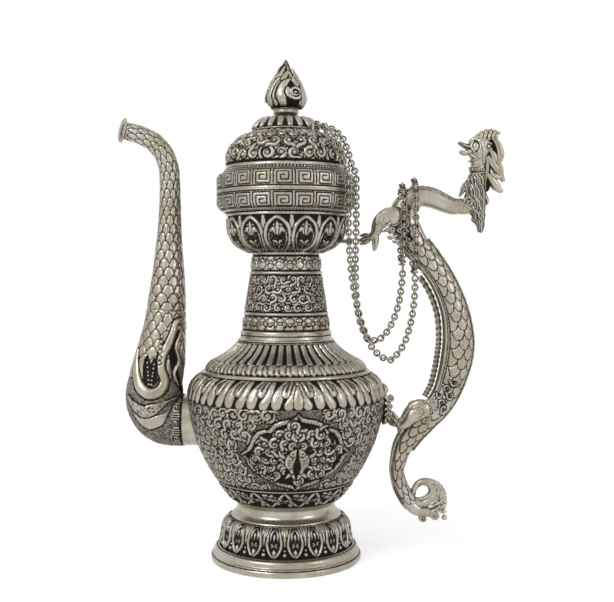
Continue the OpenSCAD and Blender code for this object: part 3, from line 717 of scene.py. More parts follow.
class EwerOrnament(bpy.types.PropertyGroup):
    leaf_count: bpy.props.IntProperty(name="Shoulder leaves",
                                      description="Curved leaves round the upper belly, in threes", default=78,
                                      min=24, max=96)
    flute_count: bpy.props.IntProperty(name="Cone flutes", description="Flutes round the shoulder cone",
                                       default=44, min=20, max=70)
    key_count: bpy.props.IntProperty(name="Keys", description="Square keys round the drum and the lid band",
                                     default=21, min=10, max=40)
    cup_petals: bpy.props.IntProperty(name="Cup petals", description="Lotus petals round the cup",
                                      default=13, min=6, max=24)
    foot_petals: bpy.props.IntProperty(name="Foot petals", description="Petals round the lotus foot",
                                       default=20, min=10, max=32)
    scroll_pitch: bpy.props.FloatProperty(name="Scroll pitch", description="Spacing of the belly's scrolls, mm",
                                          default=6.6, min=5.0, max=14.0)
    pitch: bpy.props.FloatProperty(name="Mesh pitch", description="Spacing of the chased meshes' points, mm",
                                   default=0.5, min=0.3, max=2.0)


class EwerFinish(bpy.types.PropertyGroup):
    silver: bpy.props.FloatVectorProperty(name="Silver", description="Colour of the worn high places",
                                          subtype="COLOR", size=3, default=(0.44, 0.415, 0.36), min=0, max=1)
    patina_and_shade: bpy.props.FloatVectorProperty(name="Patina", description="Colour of the black in the low places",
                                          subtype="COLOR", size=3, default=(0.012, 0.010, 0.008), min=0, max=1)


class EwerStage(bpy.types.PropertyGroup):
    lamp: bpy.props.FloatProperty(name="Lamp power", description="Power of the large soft lamp",
                                  subtype="POWER", default=7.0, min=0.0, max=100.0)
    air: bpy.props.FloatProperty(name="Room light", description="Strength of the even light of the room",
                                 default=0.62, min=0.0, max=3.0)
    floor_glow: bpy.props.FloatProperty(name="Floor white",
                                        description="White that the paper floor adds to its own colour",
                                        default=0.46, min=0.0, max=1.0)
    lens: bpy.props.FloatProperty(name="Lens", description="Focal length of the camera, mm", default=57.05,
                                  min=20.0, max=200.0)


def points_for(length, pitch):
    return max(24, int(round(length / pitch)))


def rolled(name, node, sheet_maker, top=None, bottom=None, azimuth=105.0, wall=1.1, kind="chased", body=BODY,
           replaces=(), pitch=None, finer=1.0, close=False, profile=None):
    """A chased band on the outside of a turned node, or on a profile of its own."""
    p = bpy.context.scene.ewer_ornament
    pitch = pitch or p.pitch
    line = spread(smooth_line(profile, 8), 160) if profile else outer_line(node, azimuth, 200, top, bottom)
    if close:
        line = np.vstack([line, [[0.4, line[-1][1] + 0.05]]])
    r = float(np.percentile(line[:, 0], 60))
    sheet = Sheet(2 * math.pi * r, length_of(line), 4.0 * finer)
    sheet.line = line
    sheet_maker(sheet)
    sheet.finish()
    columns = points_for(sheet.length, pitch)
    rows = max(6, points_for(sheet.height, pitch))
    obj = band(name, line, sheet, columns, rows, wall)
    return dress(obj, kind, body=body, nodes=replaces or (node,))


# ---------------------------------------------------------------- belly

# Shares of a belly sheet's length at its front and its back. The front's middle is at azimuth 278 degrees.
FRONT = (278.0 - SEAM) / 360
BACK = FRONT - 0.5


def belly_leaves(sheet):
    """Leaves in threes: a plain one, a short veined one and a thin one that hooks round it."""
    n = bpy.context.scene.ewer_ornament.leaf_count // 3
    L, H = sheet.length, sheet.height
    unit_w = L / n
    sheet.ground(-0.5, 0.9)
    half = n // 2
    for side in (-1, 1):
        for i in range(half):
            x = FRONT * L + side * (half - 1 - i + 0.5) * unit_w
            at = lambda pts: smooth_line([(x - side * (u - 0.5) * unit_w, y) for u, y in pts], 8)
            thin = at([(1.02, H - 0.3), (0.93, H * 0.72), (0.84, H * 0.46), (0.7, H * 0.24), (0.62, H * 0.13)])
            sheet.strand(thin, [1.1, 1.7, 2.0, 2.5, 2.6], 0.95, 0.42, base=-0.25)
            plain = at([(0.58, H - 0.3), (0.42, H * 0.72), (0.25, H * 0.5), (0.16, H * 0.3), (0.12, H * 0.15)])
            sheet.strand(plain, [1.3, 2.3, 2.9, 3.1, 2.7], 1.1, 0.42, base=-0.2)
            vein = at([(0.82, H - 0.3), (0.66, H * 0.8), (0.55, H * 0.6), (0.5, H * 0.46)])
            sheet.strand(vein, [1.0, 1.7, 2.2, 2.0], 0.8, 0.42, base=-0.15)
            for o in (-0.55, 0.0, 0.55):
                sheet.groove(vein[5:-4] + [o, 0], 0.07, 0.14, 0.75)
            sheet.groove(plain[6:-10] + [0.5 * side, 0], 0.07, 0.12, 0.5)
    for x in (FRONT * L, (FRONT + 0.5) * L if FRONT < 0.5 else (FRONT - 0.5) * L):
        down = x == FRONT * L
        middle = [(x, H * k) for k in ((0.74, 0.52, 0.3, 0.14) if down else (0.98, 0.8, 0.6, 0.4))]
        sheet.flow(middle, 8, [0.5, 1.8, 2.8, 2.6] if down else [2.4, 2.0, 1.4, 0.4], 1.0, 0.42, base=-0.2)
    sheet.rule(H - 0.4, 0.35, 0.4)


QUARTER_TOP = [(0, 24.5), (1.6, 22.3), (5, 21.2), (9.5, 20.4), (13.6, 18.6), (16.6, 15.2), (19.2, 15.4),
               (22.8, 14.0), (25.6, 10.6), (26.9, 6.8), (29.0, 3.0), (33.0, 0)]
QUARTER_LOW = [(33.0, 0), (29.6, -2.4), (27.6, -6.6), (24.2, -11.0), (18.4, -14.6), (14.8, -16.4),
               (13.4, -18.2), (9.3, -20.4), (4.3, -21.8), (1.5, -23.0), (0, -25.0)]


def fish(sheet, x, y, side, s=1.0):
    """One of two fish that stand on their tails and face each other."""
    q = lambda pts: smooth_line([(x + side * a * s, y + b * s) for a, b in pts], 5)
    for tip in ((6.2, -10.4), (0.7, -11.2)):
        sheet.strand(q([(2.2, -6.6), ((2.2 + tip[0]) / 2 + 0.4, -8.9), tip]), [0.9, 1.2, 0.3], 0.9, 0.4)
    sheet.strand(q([(6.2, 2.0), (8.4, 3.4), (9.4, 6.0)]), [1.1, 1.0, 0.3], 0.9, 0.4)
    sheet.strand(q([(5.6, -3.4), (7.8, -4.0), (9.0, -6.4)]), [1.0, 0.9, 0.3], 0.9, 0.4)
    ring = q([(0.5, 6.8), (2.8, 5.8), (5.3, 3.2), (6.5, 0.2), (6.1, -2.7), (4.4, -5.0), (3.1, -7.2),
              (1.6, -7.4), (2.1, -4.6), (1.9, -2.2), (0.95, 0.6), (0.4, 3.6)])
    sheet.panel(ring, 0.9, 0.7, 2.2, 0.45)
    sheet.pits([(x + side * a * s, y + b * s) for a, b in ((2.2, 2.6), (4.9, 2.3), (5.7, -0.4), (4.8, -3.2),
                                                           (3.0, -5.6), (2.7, -2.6), (1.9, 0.4))], 1.0, 0.17, 5)
    sheet.groove(q([(0.9, 3.2), (2.6, 2.9), (4.3, 4.1)]), 0.13, 0.3, 0.9)
    sheet.prick(x + side * 2.3 * s, y + 4.6 * s, 0.4, 0.3, 1.0)


def belly_field(sheet):
    p = bpy.context.scene.ewer_ornament
    L, H = sheet.length, sheet.height
    tall = (H - 2.4) / 49.5
    mid = 0.9 + 25 * tall
    rows = np.interp(np.linspace(0, H, 50), run_of(sheet.line), sheet.line[:, 0])
    mean = L / (2 * math.pi)

    def fixed(pts, xc):
        pts = np.asarray(pts, float)
        k = mean / np.interp(pts[:, 1], np.linspace(0, H, 50), rows)
        return np.stack([xc + (pts[:, 0] - xc) * k, pts[:, 1]], 1)

    ring = mirrored(QUARTER_TOP, QUARTER_LOW)
    centres = [FRONT * L, (BACK % 1) * L]
    outlines = [fixed(ring * [1, tall] + [xc, mid], xc) for xc in centres]

    def keep(x, y):
        for xc in centres:
            d = (x - xc + L / 2) % L - L / 2
            k = np.interp(y, np.linspace(0, H, 50), rows) / mean
            if (abs(d * k) / 35.5) ** 1.5 + (abs(y - mid) / 27.5) ** 1.5 < 1:
                return False
        return True

    sheet.ground(-0.15, 0.42)
    for k in range(13):
        x = (k + 0.35) * L / 13
        turn = 1 if k % 2 else -1
        stem = [(x - turn * 7, 1.0), (x - turn * 1.5, H * 0.17), (x + turn * 2.5, H * 0.38), (x, H * 0.56),
                (x - turn * 3.5, H * 0.74), (x + turn * 1.5, H * 0.97)]
        sheet.flow(stem, 8, [0.4, 0.75, 0.85, 0.8, 0.7, 0.4], 0.45, 0.32)
    leafy_scrolls(sheet, 0, L, 0.6, H - 0.4, p.scroll_pitch, keep, 0.5, 0.3, 0.85, 7, 4)
    for xc, ring_out in zip(centres, outlines):
        c = np.array([xc, mid])
        inner = c + (ring_out - c) * [0.895, 0.865]
        small = c + (ring_out - c) * [0.85, 0.81]
        hatched_frame(sheet, ring_out, inner)
        # A near-black groove along only the lower half of the frame: a groove holding painted shadow under the
        # raised frame.
        under = ring_out[ring_out[:, 1] < mid - 1]
        under = under[np.argsort(under[:, 0])]
        sheet.groove(c + (under - c) * [1.012, 1.02], 0.5, 0.5, 1.0)
        sheet.panel(inner, -0.5, 0.25, 3.0, 0.5, 1.0, 0.3, ground=0.6)
        lo, hi = small.min(0), small.max(0)
        fy = mid - 3.6

        def inside(x, y, ring=small, c=c, fy=fy):
            return within(x, y, ring) and not (abs(x - c[0]) < 8.4 and -12.5 < y - fy < 10.5)

        leafy_scrolls(sheet, lo[0], hi[0], lo[1], hi[1], 6.1, inside, 1.0, 0.45, 0.95, 3, 2)
        for side in (-1, 1):
            sheet.curl(xc + side * 2.7, fy + 9.6, 2.2, side, 250, 1.1, 0.95, 1.0, 0.5)
            fish(sheet, xc, fy, side, 1.14)
            sheet.flow([(xc + side * 1.0, fy + 12.6), (xc + side * 3.0, fy + 14.6),
                        (xc + side * 2.4, fy + 17.4)], 5, [0.8, 1.1, 0.3], 0.9, 0.45)
    for y in (0.5, 1.5):
        sheet.rule(y, 0.2, 0.3, 0.8)


def belly_foot(sheet):
    L, H = sheet.length, sheet.height
    n = 28
    step = L / n
    sheet.ground(-0.4, 0.75)
    for i in range(n):
        x = (i + 0.5) * step
        turn = 1 if i % 2 else -1
        stem = smooth_line([(x - turn * step * 0.5, 1.0), (x - turn * step * 0.1, H * 0.3),
                            (x + turn * step * 0.3, H * 0.75), (x + turn * step * 0.5, H - 1.2)], 6)
        sheet.strand(stem, [0.4, 1.0, 0.9, 0.4], 0.75, 0.34)
        sheet.curl(x - turn * step * 0.22, H * 0.68, 2.0, turn, 120, 1.2, 0.72, 0.8, 0.36)
        sheet.lobes(x - turn * step * 0.22, H * 0.68, 1.8, -turn, 300, 3, 1.2, 0.75)
        sheet.lobes(x + turn * step * 0.28, H * 0.28, 1.1, turn, 60, 4, 1.5, 0.75)
        sheet.curl(x + turn * step * 0.36, H * 0.4, 1.3, -turn, 60, 1.0, 0.62, 0.75, 0.36)
    for y in (0.35, H - 0.7):
        sheet.rule(y, 0.3, 0.3)
    sheet.strand([(0, H - 0.2), (L, H - 0.2)], 0.45, 0.7, 0.3)


class EWER_OT_belly(bpy.types.Operator):
    """Chased belly: leaf border, scroll field with two cartouches, palmette border"""
    bl_idname = "ewer.belly"
    bl_label = "Belly"

    def execute(self, context):
        lo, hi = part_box("belly")
        z0, z1 = lo.z / MM, hi.z / MM
        neck_low, cut_low, cut_high = z0 + 4.6, z0 + 15.4, z1 - 14.6
        rolled("belly_foot_border", "belly", belly_foot, top=cut_low, bottom=neck_low)
        rolled("belly_field", "belly", belly_field, top=cut_high, bottom=cut_low)
        rolled("belly_leaf_border", "belly", belly_leaves, bottom=cut_high)
        return {"FINISHED"}


# ---------------------------------------------------------------- shoulder and neck

def plain_rings(shares, deep=0.3):
    """Bare metal with a few turned lines at these shares of its height."""
    def draw(sheet):
        sheet.dark[:] = 0.0
        for v in shares:
            sheet.rule(v * sheet.height, 0.16, deep, 0.9)
    return draw


def cone_flutes(sheet):
    n = bpy.context.scene.ewer_ornament.flute_count
    L, H = sheet.length, sheet.height
    step = L / n
    sheet.ground(-0.9, 0.9)
    foot = H * 0.23
    for i in range(n):
        x = (i + 0.5) * step
        sheet.strand([(x, foot), (x, H * 0.6), (x, H - 0.6)], [step * 0.3, step * 0.28, step * 0.38], 0.8, 0.3)
        sheet.groove([(x, foot + 2), (x, H * 0.75)], 0.1, 0.12, 0.35)
    for i in range(n):
        for k, (o, w, high) in enumerate(((0.0, 0.36, 0.9), (0.5, 0.44, 1.2))):
            x = (i + 0.5 + o) * step
            y = foot - (0.2 if k else 0.9)
            sheet.strand([(x, y + 0.7), (x, y - H * 0.09), (x, 1.4 if k else 0.8)],
                         [step * w * 0.95, step * w * 0.9, 0.5], high, 0.4)
    sheet.rule(H - 0.5, 0.3, 0.3)


def cloud_border(sheet, y0, h, n, up):
    """Round cloud heads, large and small in turn, that stand on a row of curled feet."""
    L = sheet.length
    step = L / n
    d = 1 if up else -1
    base = y0 if up else y0 + h
    for i in range(n):
        x = (i + 0.5) * step
        big = i % 2 == 0
        w = step * (0.62 if big else 0.34)
        foot = [(x - w, base + d * 0.2), (x - w * 1.05, base + d * h * 0.22),
                (x - w * 0.6, base + d * h * 0.42), (x + w * 0.6, base + d * h * 0.42),
                (x + w * 1.05, base + d * h * 0.22), (x + w, base + d * 0.2)]
        sheet.panel(foot, 0.25, 0.1, 0.8, 0.3)
    for i in range(n):
        x = (i + 0.5) * step
        big = i % 2 == 0
        r = step * (0.44 if big else 0.34)
        y = base + d * (h - r - 0.5)
        t = np.linspace(0, 2 * math.pi, 25)[:-1]
        head = np.stack([x + r * np.cos(t), y + r * np.sin(t) * 1.0], 1)
        head = np.where((d * (head[:, 1] - y) < 0)[:, None], np.stack([x + (head[:, 0] - x) * 0.72,
                                                                       y + (head[:, 1] - y) * 1.2], 1), head)
        sheet.panel(head, 0.45, 0.25, 1.2, 0.34)
        arc = [(x - r * 0.62, y - d * r * 0.1), (x, y - d * r * 0.42), (x + r * 0.62, y - d * r * 0.1)]
        sheet.groove(smooth_line(arc, 6), 0.1, 0.18, 0.8)
        if big:
            arc = [(x - r * 0.6, y - d * r * 0.7), (x, y - d * r * 1.05), (x + r * 0.6, y - d * r * 0.7)]
            sheet.groove(smooth_line(arc, 6), 0.1, 0.18, 0.8)
            for side in (-1, 1):
                sheet.curl(x + side * step * 0.48, base + d * h * 0.24, step * 0.14, side * d, -90 * d, 0.9,
                           0.36, 0.4, 0.26)


def neck_work(sheet):
    """From the foot up: cloud border, rib, scrolls, rib, hanging cloud border and a plain throat."""
    L, H = sheet.length, sheet.height
    low, high = H * 0.189, H * 0.712
    sheet.ground(0, 0.12)
    cloud_border(sheet, 0.6, low - 1.3, 28, True)
    top = H * 0.955
    cloud_border(sheet, high + 2.9, top - high - 3.2, 22, False)
    for y in (0.35, low - 0.35, high + 2.5, top + 0.1):
        sheet.rule(y, 0.2, 0.3, 0.85)
    y0, y1 = low + 2.4, high - 0.3
    for k in range(5):
        x = (k + 0.34) * L / 5
        for side, o in ((1, 0.0), (-1, 6.0)):
            stem = smooth_line([(x + side * o * 0.3 - side * 4.5, y0 + 0.3),
                                (x - side * 6.2 + o, y0 + (y1 - y0) * 0.3),
                                (x - side * 2.6 + o, y0 + (y1 - y0) * 0.62), (x - side * 6.5 + o, y1 - 0.3)], 8)
            sheet.strand(stem, [0.5, 0.9, 0.8, 0.4], 0.5, 0.34)
    leafy_scrolls(sheet, 0, L, y0, y1, 6.3, None, 0.55, 0.34, 0.78, 11, 4)
    for y in (y0 - 0.1, y1 + 0.1):
        sheet.rule(y, 0.22, 0.35)
    for y in (low + 1.1, high + 1.15):
        sheet.strand([(0, y), (L, y)], 0.85, 0.75, 0.3, sink=0.2)


CONE = [(47.7, 113.7), (47.8, 115.2), (46.6, 117.2), (44.4, 119.2), (41.2, 121.2), (37.2, 123.6), (33.9, 125.9),
        (31.4, 128.2), (29.5, 130.2), (28.5, 131.6)]
ROOT = [(28.8, 131.0), (29.1, 131.8), (28.9, 133.0), (27.7, 133.6), (27.5, 135.4), (27.4, 137.4), (26.6, 138.4)]


class EWER_OT_neck(bpy.types.Operator):
    """Fluted shoulder cone and the chased neck above it"""
    bl_idname = "ewer.neck"
    bl_label = "Shoulder and neck"

    def execute(self, context):
        rolled("shoulder_flutes", "shoulder_cone", cone_flutes, profile=CONE)
        rolled("neck_root_steps", "neck_root_ring", plain_rings((0.12, 0.62)), profile=ROOT, kind="worn")
        rolled("neck_scrolls", "neck_tube", neck_work, finer=1.3, pitch=0.36,
               replaces=("neck_tube", "neck_ring_low", "neck_ring_high"))
        return {"FINISHED"}


# ---------------------------------------------------------------- cup, drum and lid

def arch_petals(sheet, n, shift):
    """Broad lotus petals with a trefoil and two curls under a double arch, and a drop between neighbours."""
    L, H = sheet.length, sheet.height
    s = L / n
    sheet.ground(-0.5, 0.85)
    for i in range(n):
        x = (i + 0.5) * s + shift
        sheet.strand([(x + s / 2, H - 0.7), (x + s / 2, H * 0.84), (x + s / 2, H * 0.64)], [0.9, 1.5, 0.3], 0.9,
                     0.4)
        for o in (-0.42, -0.18, 0.18, 0.42):
            sheet.strand([(x + (0.5 + o * 0.3) * s, H * 0.06), (x + (0.5 + o * 0.16) * s, H * 0.34)],
                         [0.5, 0.3], 0.5, 0.25)
    for i in range(n):
        x = (i + 0.5) * s + shift
        arch = smooth_line([(x - s * 0.2, 0.6), (x - s * 0.37, H * 0.24), (x - s * 0.45, H * 0.5),
                            (x - s * 0.37, H * 0.76), (x - s * 0.17, H * 0.9), (x, H * 0.95),
                            (x + s * 0.17, H * 0.9), (x + s * 0.37, H * 0.76), (x + s * 0.45, H * 0.5),
                            (x + s * 0.37, H * 0.24), (x + s * 0.2, 0.6)], 6)
        sheet.panel(arch, 0.5, 0.5, 2.4, 0.4, ground=0.55)
        sheet.strand(arch, [0.7, 1.1, 1.0, 1.0, 1.1, 0.7], 1.3, 0.4)
        inner = np.array([x, H * 0.45]) + (arch - [x, H * 0.45]) * [0.72, 0.74]
        sheet.strand(inner, [0.35, 0.45, 0.4, 0.45, 0.35], 1.0, 0.3)
        for side in (-1, 1):
            sheet.flow([(x + side * s * 0.03, H * 0.56), (x + side * s * 0.14, H * 0.7),
                        (x + side * s * 0.25, H * 0.64)], 5, [0.5, 1.35, 0.4], 1.4, 0.36)
            sheet.curl(x + side * s * 0.14, H * 0.38, 1.9, side, 100, 1.0, 0.75, 1.3, 0.34)
            sheet.prick(x + side * s * 0.12, H * 0.36, 0.5, 0.8, 1.0)
            sheet.flow([(x + side * s * 0.05, H * 0.08), (x + side * s * 0.17, H * 0.16),
                        (x + side * s * 0.2, H * 0.26)], 5, [0.7, 0.9, 0.4], 1.1, 0.34)
        sheet.strand([(x, H * 0.86), (x, H * 0.74), (x, H * 0.58)], [0.4, 1.2, 0.5], 1.5, 0.36)
        sheet.strand([(x, H * 0.3), (x, H * 0.12)], [0.5, 0.8], 1.1, 0.34)


def foot_lotus(sheet):
    """Upright petals with ribs between them at the top and a bead at each gap's foot."""
    n = bpy.context.scene.ewer_ornament.foot_petals
    L, H = sheet.length, sheet.height
    s = L / n
    sheet.ground(-0.7, 0.9)
    for i in range(n):
        x = (i + 0.5) * s
        for o, w in ((0.5, 0.075), (0.36, 0.05), (0.64, 0.05)):
            sheet.strand([(x + o * s, H - 0.5), (x + o * s, H * 0.62),
                          (x + (0.5 + (o - 0.5) * 0.5) * s, H * 0.4)],
                         [s * w * 1.3, s * w, 0.25], 0.8, 0.28)
        sheet.dot(x + 0.5 * s, H * 0.14, s * 0.1, 1.0, 0.35)
        sheet.dot(x + 0.5 * s, H * 0.27, s * 0.06, 0.8, 0.3)
    for i in range(n):
        x = (i + 0.5) * s
        arch = smooth_line([(x - s * 0.27, H - 0.4), (x - s * 0.36, H * 0.62), (x - s * 0.4, H * 0.4),
                            (x - s * 0.26, H * 0.16), (x, 0.6), (x + s * 0.26, H * 0.16),
                            (x + s * 0.4, H * 0.4), (x + s * 0.36, H * 0.62), (x + s * 0.27, H - 0.4)], 6)
        sheet.panel(arch, 0.5, 0.4, 1.6, 0.35, ground=0.6)
        for side in (-1, 1):
            sheet.flow([(x + side * s * 0.2, H - 0.5), (x + side * s * 0.31, H * 0.64),
                        (x + side * s * 0.34, H * 0.4), (x + side * s * 0.2, H * 0.17), (x + side * 0.1, 0.9)],
                       5, [0.5, 0.7, 0.8, 0.75, 0.4], 1.3, 0.3)
            sheet.flow([(x + side * 0.5, H * 0.9), (x + side * s * 0.16, H * 0.76),
                        (x + side * s * 0.17, H * 0.58)], 5, [0.4, 0.7, 0.3], 1.1, 0.28)
            sheet.curl(x + side * s * 0.13, H * 0.4, s * 0.085, side, 90, 1.0, 0.45, 1.2, 0.28)
        sheet.strand([(x, H * 0.72), (x, H * 0.56)], [s * 0.07, 0.3], 1.2, 0.3)
        sheet.strand([(x, H * 0.3), (x, H * 0.2), (x, H * 0.1)], [0.2, s * 0.1, 0.2], 1.2, 0.3)


FLANGE = [(43.0, 0.0), (45.0, 0.3), (45.4, 1.6), (45.3, 3.2), (44.4, 4.6), (43.2, 5.2), (43.3, 6.2),
          (43.2, 7.6), (42.2, 8.8), (40.4, 9.5)]
LOTUS = [(40.2, 9.3), (39.9, 11.0), (39.1, 13.6), (38.5, 16.6), (38.1, 19.6), (37.4, 21.8), (36.0, 23.8),
         (34.4, 25.3), (33.4, 25.9)]
WAIST = [(33.6, 25.6), (33.2, 27.2), (31.4, 28.8), (30.1, 30.4), (29.7, 32.4), (29.9, 34.2), (30.9, 35.8),
         (32.6, 37.4), (33.1, 37.9)]


def dome_scrolls(sheet):
    L, H = sheet.length, sheet.height
    sheet.ground(-0.35, 0.6)
    n = 8
    u = L / n
    for i in range(n):
        x = (i + 0.42) * u
        side = 1 if i % 2 else -1
        for o, w in ((0.0, 1.0), (0.09, 0.6)):
            sheet.flow([(x - side * u * (0.62 - o), H * 0.9), (x - side * u * (0.3 - o), H * 0.42),
                        (x + side * u * (0.05 + o), H * 0.12), (x + side * u * (0.5 + o), H * 0.1)], 8,
                       [0.5, w, w * 1.1, 0.4], 1.0, 0.42)
    leafy_scrolls(sheet, 0, L, 0.9, H - 0.4, 8.2, None, 1.05, 0.42, 1.15, 5, 4)
    for y in (0.5, H - 0.4):
        sheet.rule(y, 0.35, 0.5)


def crown_petals(sheet):
    n = 20
    L, H = sheet.length, sheet.height
    s = L / n
    sheet.ground(-0.6, 0.95)
    for i in range(n):
        x = (i + 0.5) * s
        sheet.strand([(x, 1.6), (x, H * 0.26), (x, H * 0.56), (x, H * 0.88)],
                     [s * 0.24, s * 0.36, s * 0.38, s * 0.2], 1.0, 0.45)
        sheet.groove([(x, H * 0.4), (x, H * 0.6)], 0.16, 0.3, 0.8)
    sheet.strand([(0, 0.5), (L, 0.5)], 0.4, 0.5, 0.3)


def bud_leaves(sheet):
    """Curling leaves that overlap up the bud, a spiral rose beside them, and a dark tip."""
    L, H = sheet.length, sheet.height
    n = 3
    s = L / n
    sheet.ground(-0.4, 0.9)
    for i in range(n):
        x = (i + 0.5) * s
        at = lambda pts: smooth_line([(x + a * s / 19.0, b * H) for a, b in pts], 8)
        for pts, w in (([(-7.0, 0.5), (-5.2, 0.66), (-2.6, 0.8), (0.4, 0.9)], [1.6, 2.2, 1.6, 0.4]),
                       ([(6.8, 0.5), (4.2, 0.68), (2.6, 0.82), (2.0, 0.92)], [1.4, 1.8, 1.3, 0.4]),
                       ([(-2.8, 0.52), (-0.6, 0.66), (2.6, 0.74), (4.8, 0.68)], [1.3, 1.9, 1.4, 0.4]),
                       ([(-8.6, 0.17), (-8.6, 0.34), (-7.0, 0.52), (-3.9, 0.63)], [1.3, 2.2, 2.2, 0.5]),
                       ([(-5.0, 0.16), (-5.2, 0.32), (-4.4, 0.46), (-3.6, 0.56)], [1.0, 1.5, 1.3, 0.4]),
                       ([(-1.2, 0.16), (-2.2, 0.33), (-1.0, 0.5), (3.4, 0.61)], [1.8, 2.5, 2.1, 0.5])):
            sheet.strand(at(pts), [v * s / 19.0 for v in w], 0.9, 0.5)
        rose = at([(4.9, 0.36), (4.9, 0.36)])[0]
        sheet.curl(rose[0], rose[1], 4.3 * s / 19.0, 1, 150, 1.7, 1.1, 1.1, 0.5)
        sheet.strand(at([(8.4, 0.18), (9.2, 0.33), (8.6, 0.48)]), [1.0, 1.4, 0.4], 0.9, 0.45)
        sheet.strand(at([(10.4, 0.42), (10.0, 0.6), (8.4, 0.76), (6.6, 0.88)]), [1.2, 2.0, 1.5, 0.4], 0.85,
                     0.45)
    sheet.high[: int(sheet.ny * 0.1)] = 0.4
    sheet.dark[: int(sheet.ny * 0.1)] = 0.2
    sheet.rule(H * 0.105, 0.5, 0.7)
    tip = np.clip((np.linspace(0, 1, sheet.ny) - 0.84) / 0.1, 0, 1)[:, None]
    sheet.high[:] = sheet.high * (1 - tip)
    sheet.dark[:] = sheet.dark * (1 - tip) + 0.4 * tip


def banded_keys(sheet, n, y0, y1, dark0, dark1):
    """Keys on a light band, with a black hollow over the shares dark0 to dark1 of its height."""
    key_band(sheet, n, y0, y1)
    a, b = (int(round(v * sheet.ny)) for v in (dark0, dark1))
    sheet.dark[a:b] = 0.95
    sheet.high[a:b] -= 0.3


class EWER_OT_cup(bpy.types.Operator):
    """Lotus cup, lotus foot and the drum with its square keys"""
    bl_idname = "ewer.cup"
    bl_label = "Cup, drum and foot"

    def execute(self, context):
        p = context.scene.ewer_ornament
        rolled("foot_flange_steps", "foot_flange", plain_rings((0.42, 0.9), 0.4), profile=FLANGE, kind="worn")
        rolled("lotus_foot_petals", "lotus_foot", foot_lotus, pitch=0.42, finer=1.2, profile=LOTUS)
        rolled("foot_waist", "foot_collar", plain_rings((0.06, 0.94)), profile=WAIST, kind="worn")
        rolled("cup_lotus_petals", "lotus_cup", lambda s: arch_petals(s, p.cup_petals, -0.0194 * s.length),
               pitch=0.45, azimuth=97.0)
        rolled("drum_keys", "mouth_drum", lambda s: banded_keys(s, p.key_count, s.height * 0.27, s.height - 1.3,
                                                                0, 0.11), pitch=0.42, finer=1.2)
        return {"FINISHED"}


# The rows of small beads round the lid and the drum: how many, their radius and the lid row's radius, mm.
ROW_BEADS, ROW_BEAD_R, LID_ROW_R = 116, 0.8, 36.3


class EWER_OT_lid(bpy.types.Operator):
    """Lid band, dome, crown and bud, all lifting together"""
    bl_idname = "ewer.lid"
    bl_label = "Lid"

    def execute(self, context):
        p = context.scene.ewer_ornament
        rolled("lid_keys", "lid_skirt", lambda s: banded_keys(s, p.key_count, 1.5, s.height * 0.76, 0.9, 1),
               pitch=0.42, finer=1.2, body=LID)
        rolled("dome_scrolls", "lid_dome", dome_scrolls, pitch=0.46, body=LID)
        rolled("crown_petals", "lid_crown", crown_petals, pitch=0.42, finer=1.3, body=LID, wall=2.0, close=True)
        rolled("bud_leaves", "finial_bud", bud_leaves, pitch=0.3, finer=1.6, body=LID, wall=2.0)
        rows = (("bead_row_lid", LID, LID_ROW_R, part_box("lid_bead_ring")[0].z / MM - 0.2),
                ("bead_row_drum", BODY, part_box("cup_bead_ring")[1].x / MM + 0.4,
                 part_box("mouth_drum")[0].z / MM + 0.9))
        for name, body, r, z in rows:
            cast = Cast()
            for k in range(ROW_BEADS):
                a = 2 * math.pi * k / ROW_BEADS
                cast.bead((r * math.cos(a), r * math.sin(a), z), ROW_BEAD_R, segments=8, rings=6, dark=0.25)
            dress(cast.make(name), "cast", body=body)
        return {"FINISHED"}


# ---------------------------------------------------------------- swept skins

def swept(name, path, half, thick, sheet, columns, rows, bore):
    """Wraps a sheet round a curved limb; bore is the radius of the hole through it, a number or a row."""
    path = np.asarray(path, float)
    _, up, side = frames_along(path)
    a = np.radians(360 * np.arange(columns) / columns)[:, None]
    v = np.linspace(0, 1, rows)
    high, dark = sheet.read((a / (2 * math.pi)) + 0 * v, v + 0 * a)
    fade = np.clip(np.minimum(v, 1 - v) * rows / 2.0, 0, 1)
    high = high * fade
    ca, sa = np.cos(a)[..., None], np.sin(a)[..., None]
    skin = path + (half + high)[..., None] * ca * up + (thick + high)[..., None] * sa * side
    bore = np.broadcast_to(bore, (rows,))
    inner = np.linspace(rows - 1, 0, 14).astype(int)
    back = path[inner] + bore[inner][:, None] * (ca * up[inner] + sa * side[inner])
    grid = np.concatenate([skin, back], 1)
    return closed_skin(name, grid, np.concatenate([dark, np.full((columns, 14), 0.5)], 1))


SPOUT = np.array([[-65.8, 83.4, 15.5], [-69, 83.7, 15.8], [-73, 85, 16.3], [-77, 88.5, 16.8],
                  [-79.5, 94.5, 17.2], [-79.5, 102, 17.2], [-78.2, 112.5, 15.4], [-75.2, 127, 14],
                  [-73.2, 141.5, 12.1], [-71.9, 156, 10.9], [-71, 170.5, 9.4], [-70.6, 185, 7.9],
                  [-70.1, 199.5, 6.7], [-69.8, 214, 6], [-69.9, 228, 5.7], [-70.6, 236, 5.6],
                  [-73.2, 243.5, 5.5], [-77.7, 249.5, 5.4], [-83.5, 253.5, 5.2], [-89.5, 256, 5],
                  [-95.5, 257.6, 4.85]])


def tiles(sheet, y0, y1, n, pitch, toward, wide=0.5, keep=None, high=0.5, line=0.42):
    """Overlapping scales; toward is 1 where the round edges look up the sheet, -1 where they look down."""
    step = sheet.length / n
    rows = np.arange(y0, y1, pitch)
    order = list(enumerate(rows))
    for j, y in (order[::-1] if toward > 0 else order):
        for i in range(n):
            x = (i + 0.5 * (j % 2)) * step
            if keep and not keep(x % sheet.length, y):
                continue
            sheet.strand([(x, y - toward * pitch * 1.3), (x, y), (x, y + toward * pitch * 0.42)],
                         [step * 0.42, step * wide, step * 0.36], high, line, base=0.0)
            sheet.groove([(x - step * 0.1, y + toward * pitch * 0.1),
                          (x + step * 0.02, y + toward * pitch * 0.25)], 0.08,
                         0.1, 0.25)


